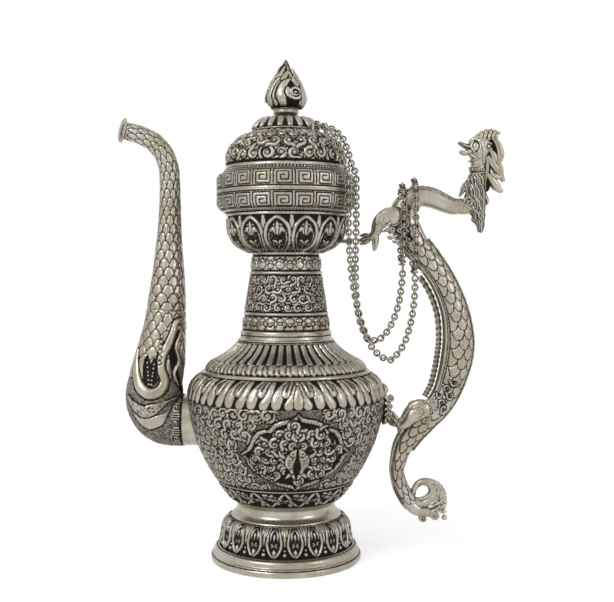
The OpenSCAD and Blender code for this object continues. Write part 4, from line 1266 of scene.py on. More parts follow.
# Lines of the bulb's near side, as x and z in mm; its far side mirrors them.
FLAME = [(-88.6, 124), (-89.6, 117), (-88.4, 109), (-85.2, 103.6), (-79.6, 101.0), (-73.6, 103.6), (-71.2, 110),
         (-73.4, 117), (-72.8, 124), (-69.2, 131), (-67.0, 137), (-65.2, 143.5), (-62.6, 144.5), (-61.6, 140)]
FLAME_WIDE = [1.6, 2.5, 2.6, 2.9, 3.1, 2.9, 2.6, 2.5, 2.6, 2.6, 2.4, 2.2, 1.7, 0.8]
# FLAME_HOLLOW and FLAME_HEART are drawn sunken and near black: painted shade that stands for the openings of
# the openwork.
FLAME_HOLLOW = [(-63.6, 139), (-66.0, 132), (-66.2, 124), (-65.4, 116), (-64.0, 108), (-62.4, 101)]
FLAME_TONGUES = (([(-63.2, 138), (-65.2, 130), (-63.8, 123), (-66.2, 115), (-64.0, 106)],
                  [0.5, 1.2, 0.8, 1.1, 0.4], 1.2, 0.4),
                 ([(-61.8, 134), (-62.9, 127), (-61.6, 119), (-62.9, 111)], [0.4, 0.9, 0.8, 0.3], 1.1, 0.35))
FLAME_HEART = [(-79.6, 105.2), (-83.4, 108.5), (-84.0, 117), (-82.2, 122), (-79.6, 118), (-77.4, 122),
               (-75.8, 117), (-76.0, 108.5)]
SPOUT_WALL = 1.2
SPLIT_Z = 150
COLLAR_R = 15.8


class EWER_OT_spout(bpy.types.Operator):
    """Bulb with its flame border and the scaled tube above it"""
    bl_idname = "ewer.spout"
    bl_label = "Spout"

    def execute(self, context):
        pitch = context.scene.ewer_ornament.pitch
        fine = smooth_line(SPOUT, 12)
        line = spread(fine, points_for(length_of(fine[:, :2]), pitch))
        split = int(np.argmax(line[:, 1] > SPLIT_Z))
        low, high = line[:split + 1], line[split:]

        # bulb
        H = length_of(low[:, :2])
        L = 2 * math.pi * float(low[:, 2].mean())
        sheet = Sheet(L, H, 4.0)
        run = run_of(low[:, :2])
        turn = run[int(np.argmax(low[:, 1] > 97))]

        def spot(X, Z):
            k = int(np.argmin(np.abs(low[:, 1] - Z)))
            s = np.clip((X - low[k, 0]) / low[k, 2], -1, 1)
            return (270 + math.degrees(math.asin(s))) / 360 * L, run[k]

        sheet.dark[:] = 0.34
        rng = np.random.default_rng(4)
        for _ in range(1500):
            x, y = rng.uniform(0, L), rng.uniform(1.5, turn + 4)
            sheet.prick(x, y, 0.16, 0.2, 0.55)
        tiles(sheet, H - 1.5 - 6 * 5.2, H + 6, 12, 5.2, 1, 0.5, lambda x, y: y > turn + 6)
        for flip in (False, True):
            turned = lambda pts: [(L - a, b) if flip else (a, b) for a, b in pts]
            drawn = lambda pairs: turned([spot(X, Z) for X, Z in pairs])
            low_line = lambda rows: turned([(spot(X, Z)[0], turn + off) for X, Z, off in rows])
            leaf = drawn([(-92, 97)]) + low_line([(-88, 97, -9), (-80, 97, -13), (-70, 97, -17.5)])
            sheet.flow(leaf, 6, [0.6, 2.4, 3.0, 0.8], 0.7, 0.5)
            crescent = low_line([(-94, 98, 1.5), (-86, 97, -4.5), (-79, 97, -5.5), (-72, 97, -4), (-65, 98, 2)])
            sheet.flow(crescent, 6, [0.6, 2.6, 3.4, 2.6, 0.6], 0.8, 0.5)
            for a, b in smooth_line(crescent, 10)[3:-3]:
                for _ in range(3):
                    x, y = a + rng.uniform(-2, 2), b + rng.uniform(-2, 2)
                    sheet.prick(x, y, 0.14, 0.2, 0.9)
            # Sunken near-black hollow: painted shade for an opening of the openwork.
            sheet.groove(smooth_line(drawn(FLAME_HOLLOW), 6), [0.8, 2.2, 2.6, 2.6, 2.2, 0.8], 1.2)
            for pairs, wide, rise, rim in FLAME_TONGUES:
                sheet.flow(drawn(pairs), 6, wide, rise, rim)
            sheet.flow(drawn(FLAME), 8, FLAME_WIDE, 1.2, 0.7)
            # Sunken near-black heart: painted shade for the opening inside the flame.
            sheet.panel(smooth_line(drawn(FLAME_HEART), 6), -0.5, 0, 1.0, 0.3, ground=0.95)
            beads = [(-79.8 + o * (0.7 + 0.28 * k), 106.5 + 2.4 * k) for k in range(6) for o in (-1, 1)]
            for a, b in drawn(beads):
                sheet.dot(a, b, 0.72, 0.8, 0.3)
            for a, b in drawn([(-74.6 + 0.3 * k, 120 + 3.0 * k) for k in range(6)]):
                sheet.dot(a, b, 1.15, 0.9, 0.35)
        sheet.finish()
        obj = swept("spout_flame_bulb", in_plane(low), low[:, 2], low[:, 2], sheet, points_for(L, pitch * 0.9),
                    len(low), low[:, 2] - SPOUT_WALL)
        dress(obj, "chased", nodes=("spout_bulb",))

        # tube
        L = 2 * math.pi * 8.0
        sheet = Sheet(L, length_of(high[:, :2]), 4.5)
        tiles(sheet, 0.5, sheet.height + 3, 9, 5.2, 1)
        sheet.finish()
        obj = swept("spout_scales", in_plane(high), high[:, 2], high[:, 2], sheet, points_for(L, 0.42),
                    len(high), high[:, 2] - SPOUT_WALL)
        dress(obj, "chased", nodes=("spout_tube",))

        # key band round the collar
        lo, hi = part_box("spout_collar")
        w = (hi.x - lo.x) / MM
        sheet = Sheet(2 * math.pi * COLLAR_R, w, 5.0)
        key_band(sheet, 10, 0.6, w - 0.6, 0.17, 0.35)
        sheet.finish()
        line = np.stack([np.linspace(hi.x, lo.x, 16) / MM, np.full(16, 83.5)], 1)
        r = np.full(16, COLLAR_R)
        obj = swept("spout_collar_keys", in_plane(line), r, r, sheet, 230, 16, r - 2)
        dress(obj, "chased", nodes=("spout_collar",))
        return {"FINISHED"}


# ---------------------------------------------------------------- dragon

DRAGON = np.array([[106.3, 213, 4.4, 4.62], [100.5, 212.5, 4.9, 4.95], [95, 214.5, 5.4, 5.27],
                   [88, 217.5, 6, 5.6], [81, 218.5, 6.2, 6.07], [74.5, 215.5, 7.2, 6.53], [71, 208.5, 8.5, 7],
                   [72, 200, 8.8, 7], [78.5, 188, 8, 7], [88.5, 176, 7.2, 7], [95.7, 164, 7.2, 7],
                   [101.2, 149.5, 7.8, 7], [103.5, 134.5, 8.8, 7], [103, 123, 9.1, 7], [100.5, 111.8, 8.5, 7],
                   [96.5, 100.5, 7.6, 7], [91.3, 92, 7.2, 6.65], [84, 84.5, 7, 6.3], [76, 76, 6.9, 5.95],
                   [70.5, 67.5, 6, 5.6], [68, 59, 4.9, 5.25], [67, 52, 4.3, 4.99], [69, 43.5, 4.6, 4.73],
                   [73, 36, 4.9, 4.46], [76, 31.5, 4.6, 4.2]])


class EWER_OT_dragon_body(bpy.types.Operator):
    """Scaled body of the dragon, from its neck to the root of its tail"""
    bl_idname = "ewer.dragon_body"
    bl_label = "Dragon body"

    def execute(self, context):
        p = context.scene.ewer_ornament
        fine = smooth_line(DRAGON, 12)
        H = length_of(fine[:, :2])
        line = spread(fine, points_for(H, p.pitch))
        run = run_of(line[:, :2])
        at = lambda X, Z: float(run[int(np.argmin(np.hypot(line[:, 0] - X, line[:, 1] - Z)))])
        L = 2 * math.pi * 7.6
        sheet = Sheet(L, H, 5.0)
        deg = L / 360
        rng = np.random.default_rng(9)
        chest, hip = at(75, 193), at(96.5, 100.5)

        def scaled(x, y):
            off = abs((x / deg + 180) % 360 - 180)
            near_hip = abs(y - hip - 1) < 8.5 and 40 < off < 132
            return off > 50 + 14 * max(0, (y - at(70.5, 67.5)) / 60) and y > chest and not near_hip

        tiles(sheet, chest - 3, H - 5, 8, 5.6, 1, 0.52, scaled, 0.55, 0.42)
        for sign in (1, -1):
            for d, wide, high in ((47, 0.95, 0.75), (37, 1.15, 0.9)):
                pts = [(sign * d * deg, y) for y in np.arange(chest - 10, H - 3, 2.0)]
                sheet.strand(pts, [0.4, wide, wide, wide, wide, wide, 0.3], high, 0.4)
            low = at(88, 217.5)
            for d in (24, 40):
                pts = [(sign * (d + 5 * math.sin((y - 4) / 34)) * deg, y) for y in np.arange(3, at(73, 213),
                                                                                             1.5)]
                sheet.strand(pts, [0.4, 0.75, 0.75, 0.4], 0.5, 0.32)
            for y in np.arange(low - 14, low + 14, 2.2):
                sheet.strand([(sign * 6 * deg, y - 0.7), (sign * 17 * deg, y + 0.7)], [0.5, 0.8], 0.45, 0.3)
            for X, Z, d, r, turn in ((73.5, 207.5, 62, 2.4, 1), (70.5, 199.5, 66, 2.2, -1),
                                     (75.5, 201.5, 90, 2.3, 1), (70.5, 205, 92, 2.0, -1),
                                     (76.5, 209.5, 98, 1.6, 1), (74.5, 195.5, 78, 1.7, 1),
                                     (97.2, 103, 84, 2.2, 1), (96.5, 99.5, 112, 2.3, -1),
                                     (93, 95.5, 92, 2.0, 1), (99, 106.5, 104, 1.8, -1), (94.5, 97, 66, 1.8, -1),
                                     (91.5, 93, 118, 1.8, 1)):
                sheet.curl(sign * d * deg, at(X, Z), r, turn * sign, 40 + 30 * turn, 1.2, 0.62, 0.75, 0.45, 1.6)
        for _ in range(120):
            x, y = rng.uniform(0, L), rng.uniform(4, H - 4)
            sheet.groove([(x, y), (x + 0.1, y + 0.25)], 0.12, 0.16, 0.6)
        sheet.finish()
        columns = points_for(L, p.pitch * 0.9)
        obj = swept("dragon_scaled_body", in_plane(line), line[:, 2], line[:, 3], sheet, columns, len(line),
                    0.5)
        dress(obj, "chased", nodes=("dragon_body",))
        return {"FINISHED"}


# Rows for Cast.pairs: points with Y for the far side, widths, thicknesses and the rest.
HORN = dict(segments=10, rings=22)
FACE = (
    ([(112.4, 4.6, 251.9), (110.6, 5.4, 247.6), (114.0, 5.2, 243.2)], [0.5, 0.75, 0.35]),
    ([(115.6, 4.6, 251.4), (116.3, 5.4, 247.0), (114.0, 5.2, 243.2)], [0.5, 0.7, 0.35]),
    ([(110.3, 3.4, 244.3), (113.7, 5.2, 241.2), (117.4, 4.4, 243.6)], [0.4, 0.9, 0.4]),
    ([(117.2, 4.6, 252.5), (117.9, 5.4, 247), (118.4, 4.9, 241.5), (118.2, 4.3, 237)], [0.6, 1.0, 0.9, 0.4]),
    ([(112.6, 2.4, 247.6), (109.3, 2.1, 248.1), (106.4, 1.7, 249.4), (103.7, 1.5, 251)], [2.1, 1.7, 1.1, 0.7],
     None, dict(HORN, ribs=4, rib=0.06)),
    ([(112.4, 2.2, 245.4), (109.2, 1.9, 244.9), (106.8, 1.6, 244.4), (104.6, 1.4, 245.8)], [1.9, 1.5, 1.3, 0.9],
     None, HORN),
    ([(126.6, 2.6, 250.5), (129.0, 2.3, 246.5), (130.2, 2.0, 243.6)], [0.5, 1.0, 0.3]),
    ([(120.4, 1.4, 232.8), (123.6, 1.8, 228.8), (126.6, 1.8, 224.4), (130.4, 1.4, 220.9)], [1.3, 2.3, 2.5, 0.9],
     [1.2, 1.9, 1.8, 0.8], dict(segments=14, rings=24)),
    ([(122.6, 2.8, 232.4), (126.2, 3.0, 230.4), (129.6, 2.4, 229.4)], [0.7, 1.6, 0.4], [0.5, 1.0, 0.3]),
)
# Beads of the two bosses on each cheek: place, radius, squash, segments, rings, patina.
EYE_BEADS = (((113.4, 4.3, 247.9), 3.1, (1.0, 0.5, 1.25), 24, 16, 0.95),
             ((113.4, 5.2, 247.9), 2.0, (0.95, 0.62, 1.3), 20, 14, 0.0),
             ((121.2, 4.0, 248.0), 2.5, (1, 0.55, 1.05), 18, 12, 0.9),
             ((121.2, 4.9, 248.0), 1.1, (1, 0.7, 1.1), 12, 8, 0.0))
CHEEK_LOBES = (([(123.4, 253.5), (127.0, 249.5), (128.7, 243.5), (127.6, 236.5)], [0.8, 2.0, 2.2, 0.7]),
               ([(121.8, 246.6), (124.6, 243.0), (125.2, 238.5), (123.6, 235.2)], [0.8, 1.7, 1.7, 0.6]),
               ([(126.2, 240.5), (128.6, 236.0), (129.2, 231.5), (131.2, 227.3)], [0.7, 1.5, 1.6, 0.6]),
               ([(121.5, 242.0), (123.6, 238.5), (127.0, 234.0), (128.2, 230.5)], [0.7, 2.0, 1.9, 0.6]),
               ([(119.4, 243.5), (120.8, 239.0), (120.6, 233.0), (119.4, 226.5)], [0.5, 1.0, 1.0, 0.5]))
CROWN_TIPS = [(113.0, 253.2), (114.9, 255.6), (117.2, 257.4), (119.8, 258.4), (122.4, 258.6), (124.8, 258.0),
              (126.8, 257.0)]
# Rows of locks: height, radius and middle x at the root, the same at the bulge, height of the tips, count.
MANE_ROWS = [(233.2, 4.5, 115.3, 228.2, 5.4, 114.4, 221.0, 14),
             (228.4, 5.2, 114.5, 221.6, 5.9, 113.7, 214.0, 13),
             (221.4, 5.5, 113.9, 214.6, 4.9, 114.4, 207.6, 11),
             (213.9, 4.6, 114.6, 208.0, 3.4, 115.6, 202.0, 8), (207.0, 3.1, 115.7, 202.6, 2.0, 116.6, 197.2, 5)]
LOOSE_LOCKS = (([(109.6, 226.0), (106.9, 222.6), (104.4, 218.3)], [1.5, 1.5, 0.4]),
               ([(110.6, 229.0), (107.9, 226.0), (105.2, 222.8)], [1.2, 1.2, 0.4]),
               ([(119.4, 219.5), (120.8, 216.4), (121.2, 213.4)], [1.2, 1.2, 0.4]),
               ([(116.6, 205.0), (117.4, 200.0), (117.5, 196.6)], [1.6, 1.5, 0.9]))


def dragon_face():
    head = Cast()
    head.strand([(115.4, 0, 231.5), (115.7, 0, 236), (116.0, 0, 241), (116.6, 0, 246), (118.6, 0, 251),
                 (121.2, 0, 255)], [4.4, 4.5, 5.2, 6.6, 6.6, 3.8], [4.4, 4.5, 5.0, 5.6, 5.2, 3.2],
                segments=40, rings=40, blunt=1.2)
    # collar of fine ribs, with plain rings above and below
    head.strand([(115.2, 0, 232.6), (115.4, 0, 235.9)], [4.9, 5.0], segments=120, rings=14, ribs=26, rib=0.03,
                blunt=0.6)
    for z, r in ((236.4, 5.1), (232.2, 5.0), (240.2, 5.45)):
        ring = [(115.4 + r * math.cos(a), r * math.sin(a), z + 0.12 * r * math.cos(a))
                for a in np.linspace(0, 2 * math.pi, 25)]
        head.strand(ring, 0.42, segments=8, rings=70, blunt=0.1)
    head.pairs(FACE)
    for s in (-1, 1):
        for (x, y, z), *how in EYE_BEADS:
            head.bead((x, s * y, z), *how)
        ring = [(121.2 + 1.9 * math.cos(a), s * 4.9, 248.0 + 2.1 * math.sin(a)) for a in np.linspace(0.4, 6.0,
                                                                                                     16)]
        head.strand(ring, 0.5, segments=8, rings=26)
        for pts, w in CHEEK_LOBES:
            out = [3.6 - 0.35 * i for i in range(len(pts))]
            head.strand([(x, s * y, z) for (x, z), y in zip(pts, out)], w, [0.5 * v for v in w], segments=12,
                        rings=22, dark=0.05)
            head.strand([(x + 0.25, s * (y + 0.5 * v), z) for (x, z), y, v in zip(pts, out, w)], 0.28,
                        segments=6, rings=18)
    for i, (x, z) in enumerate(CROWN_TIPS):
        for y in (-3.4, -1.2, 1.2, 3.4):
            lean = 0.5 if abs(y) > 2 else 0.0
            w = 1.15 if i < 6 else 0.95
            tip = z - 0.8 * lean
            head.strand([(x - 2.3 + 0.3 * i, y * 0.95, 249.6 + 0.35 * i), (x - 0.9, y * 1.1, 252.6 + 0.25 * i),
                         (x + 0.2 + lean, y * 0.9, tip)], [0.9, w, w * 0.85], segments=10, rings=18, blunt=0.6,
                        dark=0.08)
            head.bead((x + 0.25 + lean, y * 0.9, tip - 0.4), 0.9, (1, 1, 1), 8, 6)
    head.strand([(119.5, 0, 251), (123.5, 0, 250), (127.0, 0, 246.0), (128.0, 0, 239)], [3.5, 4.0, 3.4, 1.5],
                [3.0, 3.2, 2.4, 1.2], segments=24, rings=24, dark=0.75)
    # dark strand in place of the open mouth: painted shade of its hollow
    head.strand([(119.6, 0, 241), (120.6, 0, 234), (121.2, 0, 227), (120.4, 0, 221)], [2.2, 2.6, 2.8, 1.2],
                [2.6, 2.8, 2.6, 1.4], segments=20, rings=24, dark=0.9)
    return head


def dragon_mane():
    mane = Cast()
    mane.strand([(101.5, 0, 213.2), (106, 0, 212.2), (110, 0, 213.0), (115, 0, 216.0)],
                [3.6, 4.4, 4.6, 4.4, 3.6], [3.6, 4.2, 4.4, 4.0, 3.2], segments=20)
    for s in (-1, 1):
        mane.swirl((109.6, 215.0), 2.7, -1, 200, 1.5, 0.85, s * 4.4)
    mane.pairs([([(104.5, 3.8, 215.4), (107, 4.2, 213.4), (110, 4.0, 211.2), (113.5, 2.8, 210.8)],
                 [0.3, 0.9, 1.0, 0.4], None, dict(dark=0.1))])
    mane.strand([(115.4, 0, 233.0), (114.6, 0, 227), (113.8, 0, 220), (114.4, 0, 211), (116.0, 0, 204),
                 (117.4, 0, 199)],
                [4.4, 5.4, 5.8, 4.6, 2.8, 1.0], [4.4, 5.2, 5.4, 4.4, 2.6, 1.0], segments=32, rings=32,
                dark=0.62)
    rng = np.random.default_rng(12)
    for j, (z0, r0, x0, z1, r1, x1, z2, n) in enumerate(MANE_ROWS):
        for i in range(n):
            a = 2 * math.pi * (i + 0.5 * (j % 2)) / n + rng.uniform(-0.05, 0.05)
            b = a + 0.5 * (1 if math.sin(a) < 0 else -1)
            tuck = -0.7 + rng.uniform(-0.2, 0.3)
            spot = lambda x, r, at, z: (x + r * math.cos(at), r * math.sin(at), z)
            lock = [spot(x0, r0 - 0.8, a, z0), spot(x0, r0 + 0.3, a, (z0 + z1) / 2), spot(x1, r1, b, z1),
                    spot(x1 + 0.5, r1 + tuck, b, z2 + rng.uniform(-0.5, 0.5))]
            mane.strand(lock, [0.8, 1.5, 1.5, 0.4], [0.5, 0.9, 0.9, 0.4], up=(math.cos(a), math.sin(a), 0.1),
                        segments=14, rings=24, ribs=5, rib=0.14)
    for pts, w in LOOSE_LOCKS:
        for y in (-1.7, 0.0, 1.7):
            mane.strand([(x, y * (1 - 0.25 * i), z) for i, (x, z) in enumerate(pts)], w, [0.8 * v for v in w],
                        segments=14, rings=20, ribs=5, rib=0.12)
    return mane


class EWER_OT_dragon_head(bpy.types.Operator):
    """Head with its eyes, horns, crown of locks, jaw and the mane below the collar"""
    bl_idname = "ewer.dragon_head"
    bl_label = "Dragon head and mane"

    def execute(self, context):
        dress(dragon_face().make("dragon_face"), "cast", nodes=("dragon_head", "dragon_horns", "dragon_jaw"))
        dress(dragon_mane().make("dragon_mane_locks"), "cast", nodes=("dragon_mane",))
        return {"FINISHED"}


# The far leg of each pair; the near one mirrors it. limb, locks and toes are rows for Cast.side. thigh has a
# centre, radius, start, width and distance from Y = 0. Each of scrolls has x, z, radius, way round and start;
# they share wide, out and rise: their width, distance from Y = 0 and how far they stand up.
TOE = dict(segments=12, rings=20)
LEGS = {
    "fore": dict(
        limb=([(70.0, 6.6, 204.5), (64.6, 8.4, 206.2), (59.4, 9.2, 205.6), (55.8, 9.2, 201.6),
               (54.2, 8.8, 197.2), (51.2, 7.6, 193.8), (47.8, 6.0, 193.2)], [5.2, 5.4, 5.2, 4.0, 2.8, 2.2, 1.5],
              [2.4, 2.8, 2.7, 2.4, 2.2, 1.9, 1.4], dict(segments=28, rings=44)),
        thigh=((58.6, 203.4), 4.6, 215, 1.05, 11.2),
        scrolls=((65.6, 209.6, 2.3, 1, 150), (69.3, 205.9, 1.9, -1, 60), (65.2, 202.4, 2.0, 1, 120),
                 (68.2, 198.3, 2.2, -1, 100), (63.8, 197.6, 1.5, 1, 20), (70.6, 210.6, 1.7, 1, 200),
                 (71.8, 201.8, 1.6, 1, 240)),
        wide=0.7, out=8.4, rise=0.5,
        locks=[([(x0, 8.6, z0), (x1, 8.9, z1), (x2, 8.6, z2)], [0.8, 1.1, 0.3]) for x0, z0, x1, z1, x2, z2 in (
            (62.5, 210.6, 59.5, 209.6, 56.0, 206.8), (64.0, 200.0, 60.5, 198.2, 58.2, 197.4),
            (66.8, 195.2, 63.6, 193.6, 61.6, 195.0), (69.8, 193.2, 66.6, 191.2, 64.8, 192.4))],
        toes=[([(50.0, 7.2, 194.4), (47.4, 6.0, 195.2), (44.6, 4.6, 195.0)], [1.6, 1.2, 0.4], None, TOE),
              ([(49.8, 7.0, 192.2), (47.2, 5.6, 190.6), (44.6, 4.4, 189.9)], [1.6, 1.3, 0.5], None, TOE),
              ([(48.8, 5.4, 193.2), (46.2, 4.2, 192.8), (43.9, 2.9, 192.4)], [1.5, 1.1, 0.4], None, TOE),
              ([(53.6, 8.4, 195.2), (53.9, 8.2, 190.4), (53.3, 7.6, 185.6)], [1.9, 1.5, 0.4], None, TOE),
              ([(47.5, 5.0, 192.8), (44.6, 2.6, 192.0), (43.2, 1.6, 191.7)], [1.3, 1.1, 0.7])]),
    "hind": dict(
        limb=([(86.5, 6.6, 90.6), (80.6, 8.0, 89.8), (75.6, 8.6, 86.4), (72.0, 8.2, 82.2), (68.8, 7.4, 80.6),
               (66.2, 6.0, 82.4)], [4.2, 5.0, 4.4, 3.0, 2.2, 1.6], [2.2, 2.7, 2.6, 2.2, 1.9, 1.5],
              dict(segments=28, rings=40)),
        thigh=((79.4, 89.0), 4.2, 160, 0.95, 10.2),
        scrolls=((85.4, 93.0, 2.0, 1, 150), (86.6, 88.6, 2.0, -1, 60), (85.2, 84.6, 1.8, 1, 200),
                 (89.6, 91.0, 1.7, -1, 30), (88.8, 95.4, 1.6, 1, 120)),
        wide=0.65, out=7.9, rise=0.4, locks=[],
        toes=[([(67.4, 6.6, 82.4), (64.4, 5.2, 84.4), (61.9, 3.6, 87.2)], [1.6, 1.3, 0.8], None, TOE),
              ([(66.6, 6.2, 81.2), (63.2, 4.8, 81.8), (61.4, 3.4, 84.0)], [1.5, 1.2, 0.6], None, TOE),
              ([(67.6, 5.2, 83.6), (65.4, 3.8, 86.8), (63.6, 2.6, 88.6)], [1.4, 1.1, 0.5], None, TOE),
              ([(70.8, 7.6, 81.2), (69.4, 7.2, 78.0), (68.3, 6.6, 75.0)], [1.7, 1.3, 0.4], None, TOE)]),
}
# Plates of the tail in the plane Y = 0: x and z, widths, share of the width that is the thickness.
TAIL_PLATES = (
    ([(74.8, 33.2), (77.0, 30.2), (80.4, 28.0), (85.4, 27.2), (89.4, 26.2), (92.4, 23.4)],
     [3.6, 3.9, 3.4, 3.0, 3.0, 1.4], 0.95),
    ([(77.6, 35.6), (80.6, 32.8), (84.6, 32.8), (88.4, 36.2), (89.6, 40.6), (87.4, 44.6), (83.2, 45.6),
      (79.4, 43.6), (77.6, 40.2), (78.6, 37.2)], [2.2, 2.6, 3.0, 3.4, 3.4, 2.9, 2.4, 2.1, 1.7, 0.9], 0.9),
    ([(86.4, 46.6), (91.0, 43.4), (94.2, 38.6), (95.6, 33.0), (95.2, 28.0)], [1.6, 2.8, 3.0, 2.4, 1.2], 0.75),
    ([(85.0, 31.4), (89.6, 33.4), (92.8, 31.6), (93.2, 28.0)], [1.4, 2.0, 1.9, 1.0], 0.9))
TAIL_RIBS = (([(79.6, 35.0), (84.0, 35.8), (87.6, 39.2), (87.6, 43.0), (84.0, 44.8), (80.2, 43.2)], 0.7),
             ([(82.4, 31.2), (87.6, 32.2), (91.4, 36.2), (92.0, 41.4), (88.8, 45.4)], 0.75),
             ([(88.0, 31.4), (92.6, 33.0), (95.6, 36.4)], 0.7),
             ([(90.4, 30.2), (94.4, 30.8), (97.2, 33.0)], 0.7),
             ([(86.4, 35.0), (90.6, 38.4), (94.6, 41.4)], 0.7),
             ([(87.6, 38.6), (90.2, 42.0), (92.6, 44.6)], 0.7),
             ([(77.0, 28.6), (81.4, 26.2), (86.0, 25.6)], 0.8),
             ([(92.0, 28.6), (95.2, 27.0), (97.4, 28.4)], 0.65),
             ([(76.0, 32.4), (79.4, 29.8), (84.0, 29.2), (88.0, 30.4)], 0.6))


def dragon_leg(s, limb, thigh, scrolls, wide, out, rise, locks, toes):
    leg = Cast()
    leg.side(s, (limb, *locks, *toes))
    centre, r, start, w, far = thigh
    leg.swirl(centre, r, -1, start, 1.6, w, s * far, s * 0.5)
    for x, z, r, turn, a in scrolls:
        leg.swirl((x, z), r, turn, a, 1.3, wide, s * out, s * rise, segments=8, rings=20)
    return leg


def dragon_tail():
    tail = Cast()
    for pts, w, share in TAIL_PLATES:
        tail.strand([(x, 0, z) for x, z in pts], w, [share * v for v in w], segments=28, rings=44)
    tail.bead((96.3, 0, 23.7), 1.75, (1, 1, 1), 16, 12)
    tail.pairs([([(x, 2.45, z) for x, z in pts], [0.3, w, w, 0.3], [0.6] * 3, dict(segments=10, rings=24))
                for pts, w in TAIL_RIBS])
    for s in (-1, 1):
        tail.swirl((90.6, 25.8), 3.2, 1, 60, 1.5, 0.85, s * 2.7, s * 0.5)
        tail.swirl((83.6, 23.2), 2.1, 1, 80, 1.3, 0.7, s * 1.6, s * 0.3)
        for k in range(9):
            a = math.radians(70 - 17 * k)
            tail.bead((88.0 + 7.6 * math.cos(a), s * 1.6, 36.8 + 7.8 * math.sin(a)), 1.0, (1, 0.8, 1), 10, 8,
                      0.1)
    for k in range(10):
        a = math.radians(82 - 14 * k)
        c, d = math.cos(a), math.sin(a)
        x, z = 87.4 + 9.0 * c, 36.6 + 9.2 * d
        tail.strand([(x - 0.9 * c, 0, z - 0.9 * d), (x + 0.4 * c, 0, z + 0.4 * d),
                     (x + 0.9 * c + 0.3, 0, z + 0.9 * d - 0.9)], [1.0, 1.1, 0.3], [1.8, 1.8, 0.4])
    tail.swirl((83.4, 23.2), 2.3, 1, 80, 1.3, 0.95, 0.0)
    tail.strand([(80.2, 0, 26.4), (82.0, 0, 25.6), (84.4, 0, 25.4)], [0.8, 1.0, 0.6])
    return tail


class EWER_OT_dragon_limbs(bpy.types.Operator):
    """Fore and hind legs with their scrolled thighs, and the leafy tail"""
    bl_idname = "ewer.dragon_limbs"
    bl_label = "Dragon legs and tail"

    def execute(self, context):
        for side, s in (("near", -1), ("far", 1)):
            for pair, shapes in LEGS.items():
                leg = dragon_leg(s, **shapes)
                if pair == "hind":
                    leg.bead((62.0, s * 3.4, 87.6), 1.25)
                dress(leg.make(f"{pair}_leg_scrolled_{side}"), "cast", nodes=(f"{pair}_leg_{side}",))
        dress(dragon_tail().make("tail_leaf_scroll"), "cast", nodes=("tail_finial",))
        return {"FINISHED"}


class EWER_OT_rosette(bpy.types.Operator):
    """Flower boss that holds the hind feet to the belly"""
    bl_idname = "ewer.rosette"
    bl_label = "Belly rosette"

    def execute(self, context):
        boss = Cast()
        boss.bead((58.2, 0, 91), 8.4, (0.38, 1.0, 1.05), 32, 20, 0.7)
        petals, seeds = 14, 8
        for k in range(petals):
            a = 2 * math.pi * k / petals
            c, s = math.cos(a), math.sin(a)
            r0, r1 = 3.0, 8.6 + 0.6 * (k % 2)
            boss.strand([(60.6, r0 * c, 91 + r0 * s), (61.2, 6.2 * c, 91 + 6.2 * s),
                         (59.0, r1 * c, 91 + r1 * 1.05 * s)],
                        [1.0, 1.6, 0.5], [0.7, 1.0, 0.4], up=(1, 0, 0))
        rng = np.random.default_rng(3)
        for k in range(seeds):
            a = 2 * math.pi * (k + 0.5) / seeds
            boss.bead((62.2, 3.3 * math.cos(a), 91.6 + 3.3 * math.sin(a)), 1.5, dark=rng.uniform(0, 0.25))
        boss.bead((63.0, 0, 91.6), 1.8, (1, 1, 1), 14, 10)
        boss.pairs([([(57.6, 2.4, 99.0), (60.2, 2.6, 102.2), (59.0, 2.0, 105.6)], [1.4, 1.8, 0.5]),
                    ([(58.4, 2.2, 85.0), (60.4, 2.4, 83.0), (58.2, 2.0, 80.8)], [1.3, 1.5, 0.5])])
        for s in (-1, 1):
            boss.swirl((63.4, 97.0), 1.9, 1, 200, 1.2, 0.8, s * 2.2, s * 0.3)
        dress(boss.make("rosette_petals"), "cast", nodes=("belly_rosette",))
        return {"FINISHED"}


# ---------------------------------------------------------------- plain parts

PLAIN = ("shoulder_ring", "cup_bead_ring", "lid_sleeve", "lid_bead_ring", "finial_washer", "spout_saddle",
         "spout_collar", "spout_lip", "belly_strip", "back_ridge", "bracket_rivets")
DARKENED = ("finial_stem", "cup_bracket")


class EWER_OT_plain_parts(bpy.types.Operator):
    """Finish of the rings, collars, strips and straps that carry no chasing"""
    bl_idname = "ewer.plain_parts"
    bl_label = "Plain parts"

    def execute(self, context):
        for names, kind in ((PLAIN, "plain"), (DARKENED, "dark")):
            for name in names:
                NODES[name].data.materials.clear()
                NODES[name].data.materials.append(finish_of(kind))
        return {"FINISHED"}


# ---------------------------------------------------------------- chain

def link_centres(name, start):
    """Middles of a chain node's rings in mm, in order from the one nearest to start."""
    mesh = NODES[name].data
    co = np.array([v.co[:] for v in mesh.vertices]) / MM
    _, same = np.unique(np.round(co, 3), axis=0, return_inverse=True)
    same = same.ravel()
    head = list(range(int(same.max()) + 1))

    def root(a):
        while head[a] != a:
            head[a] = head[head[a]]
            a = head[a]
        return a

    for poly in mesh.polygons:
        ids = [int(same[v]) for v in poly.vertices]
        for b in ids[1:]:
            head[root(ids[0])] = root(b)
    group = np.array([root(int(k)) for k in same])
    left = [(co[group == g].min(0) + co[group == g].max(0)) / 2 for g in np.unique(group)]
    out, at = [], np.asarray(start, float)
    while left:
        k = int(np.argmin([np.linalg.norm(c - at) for c in left]))
        at = left.pop(k)
        out.append(at)
    return out


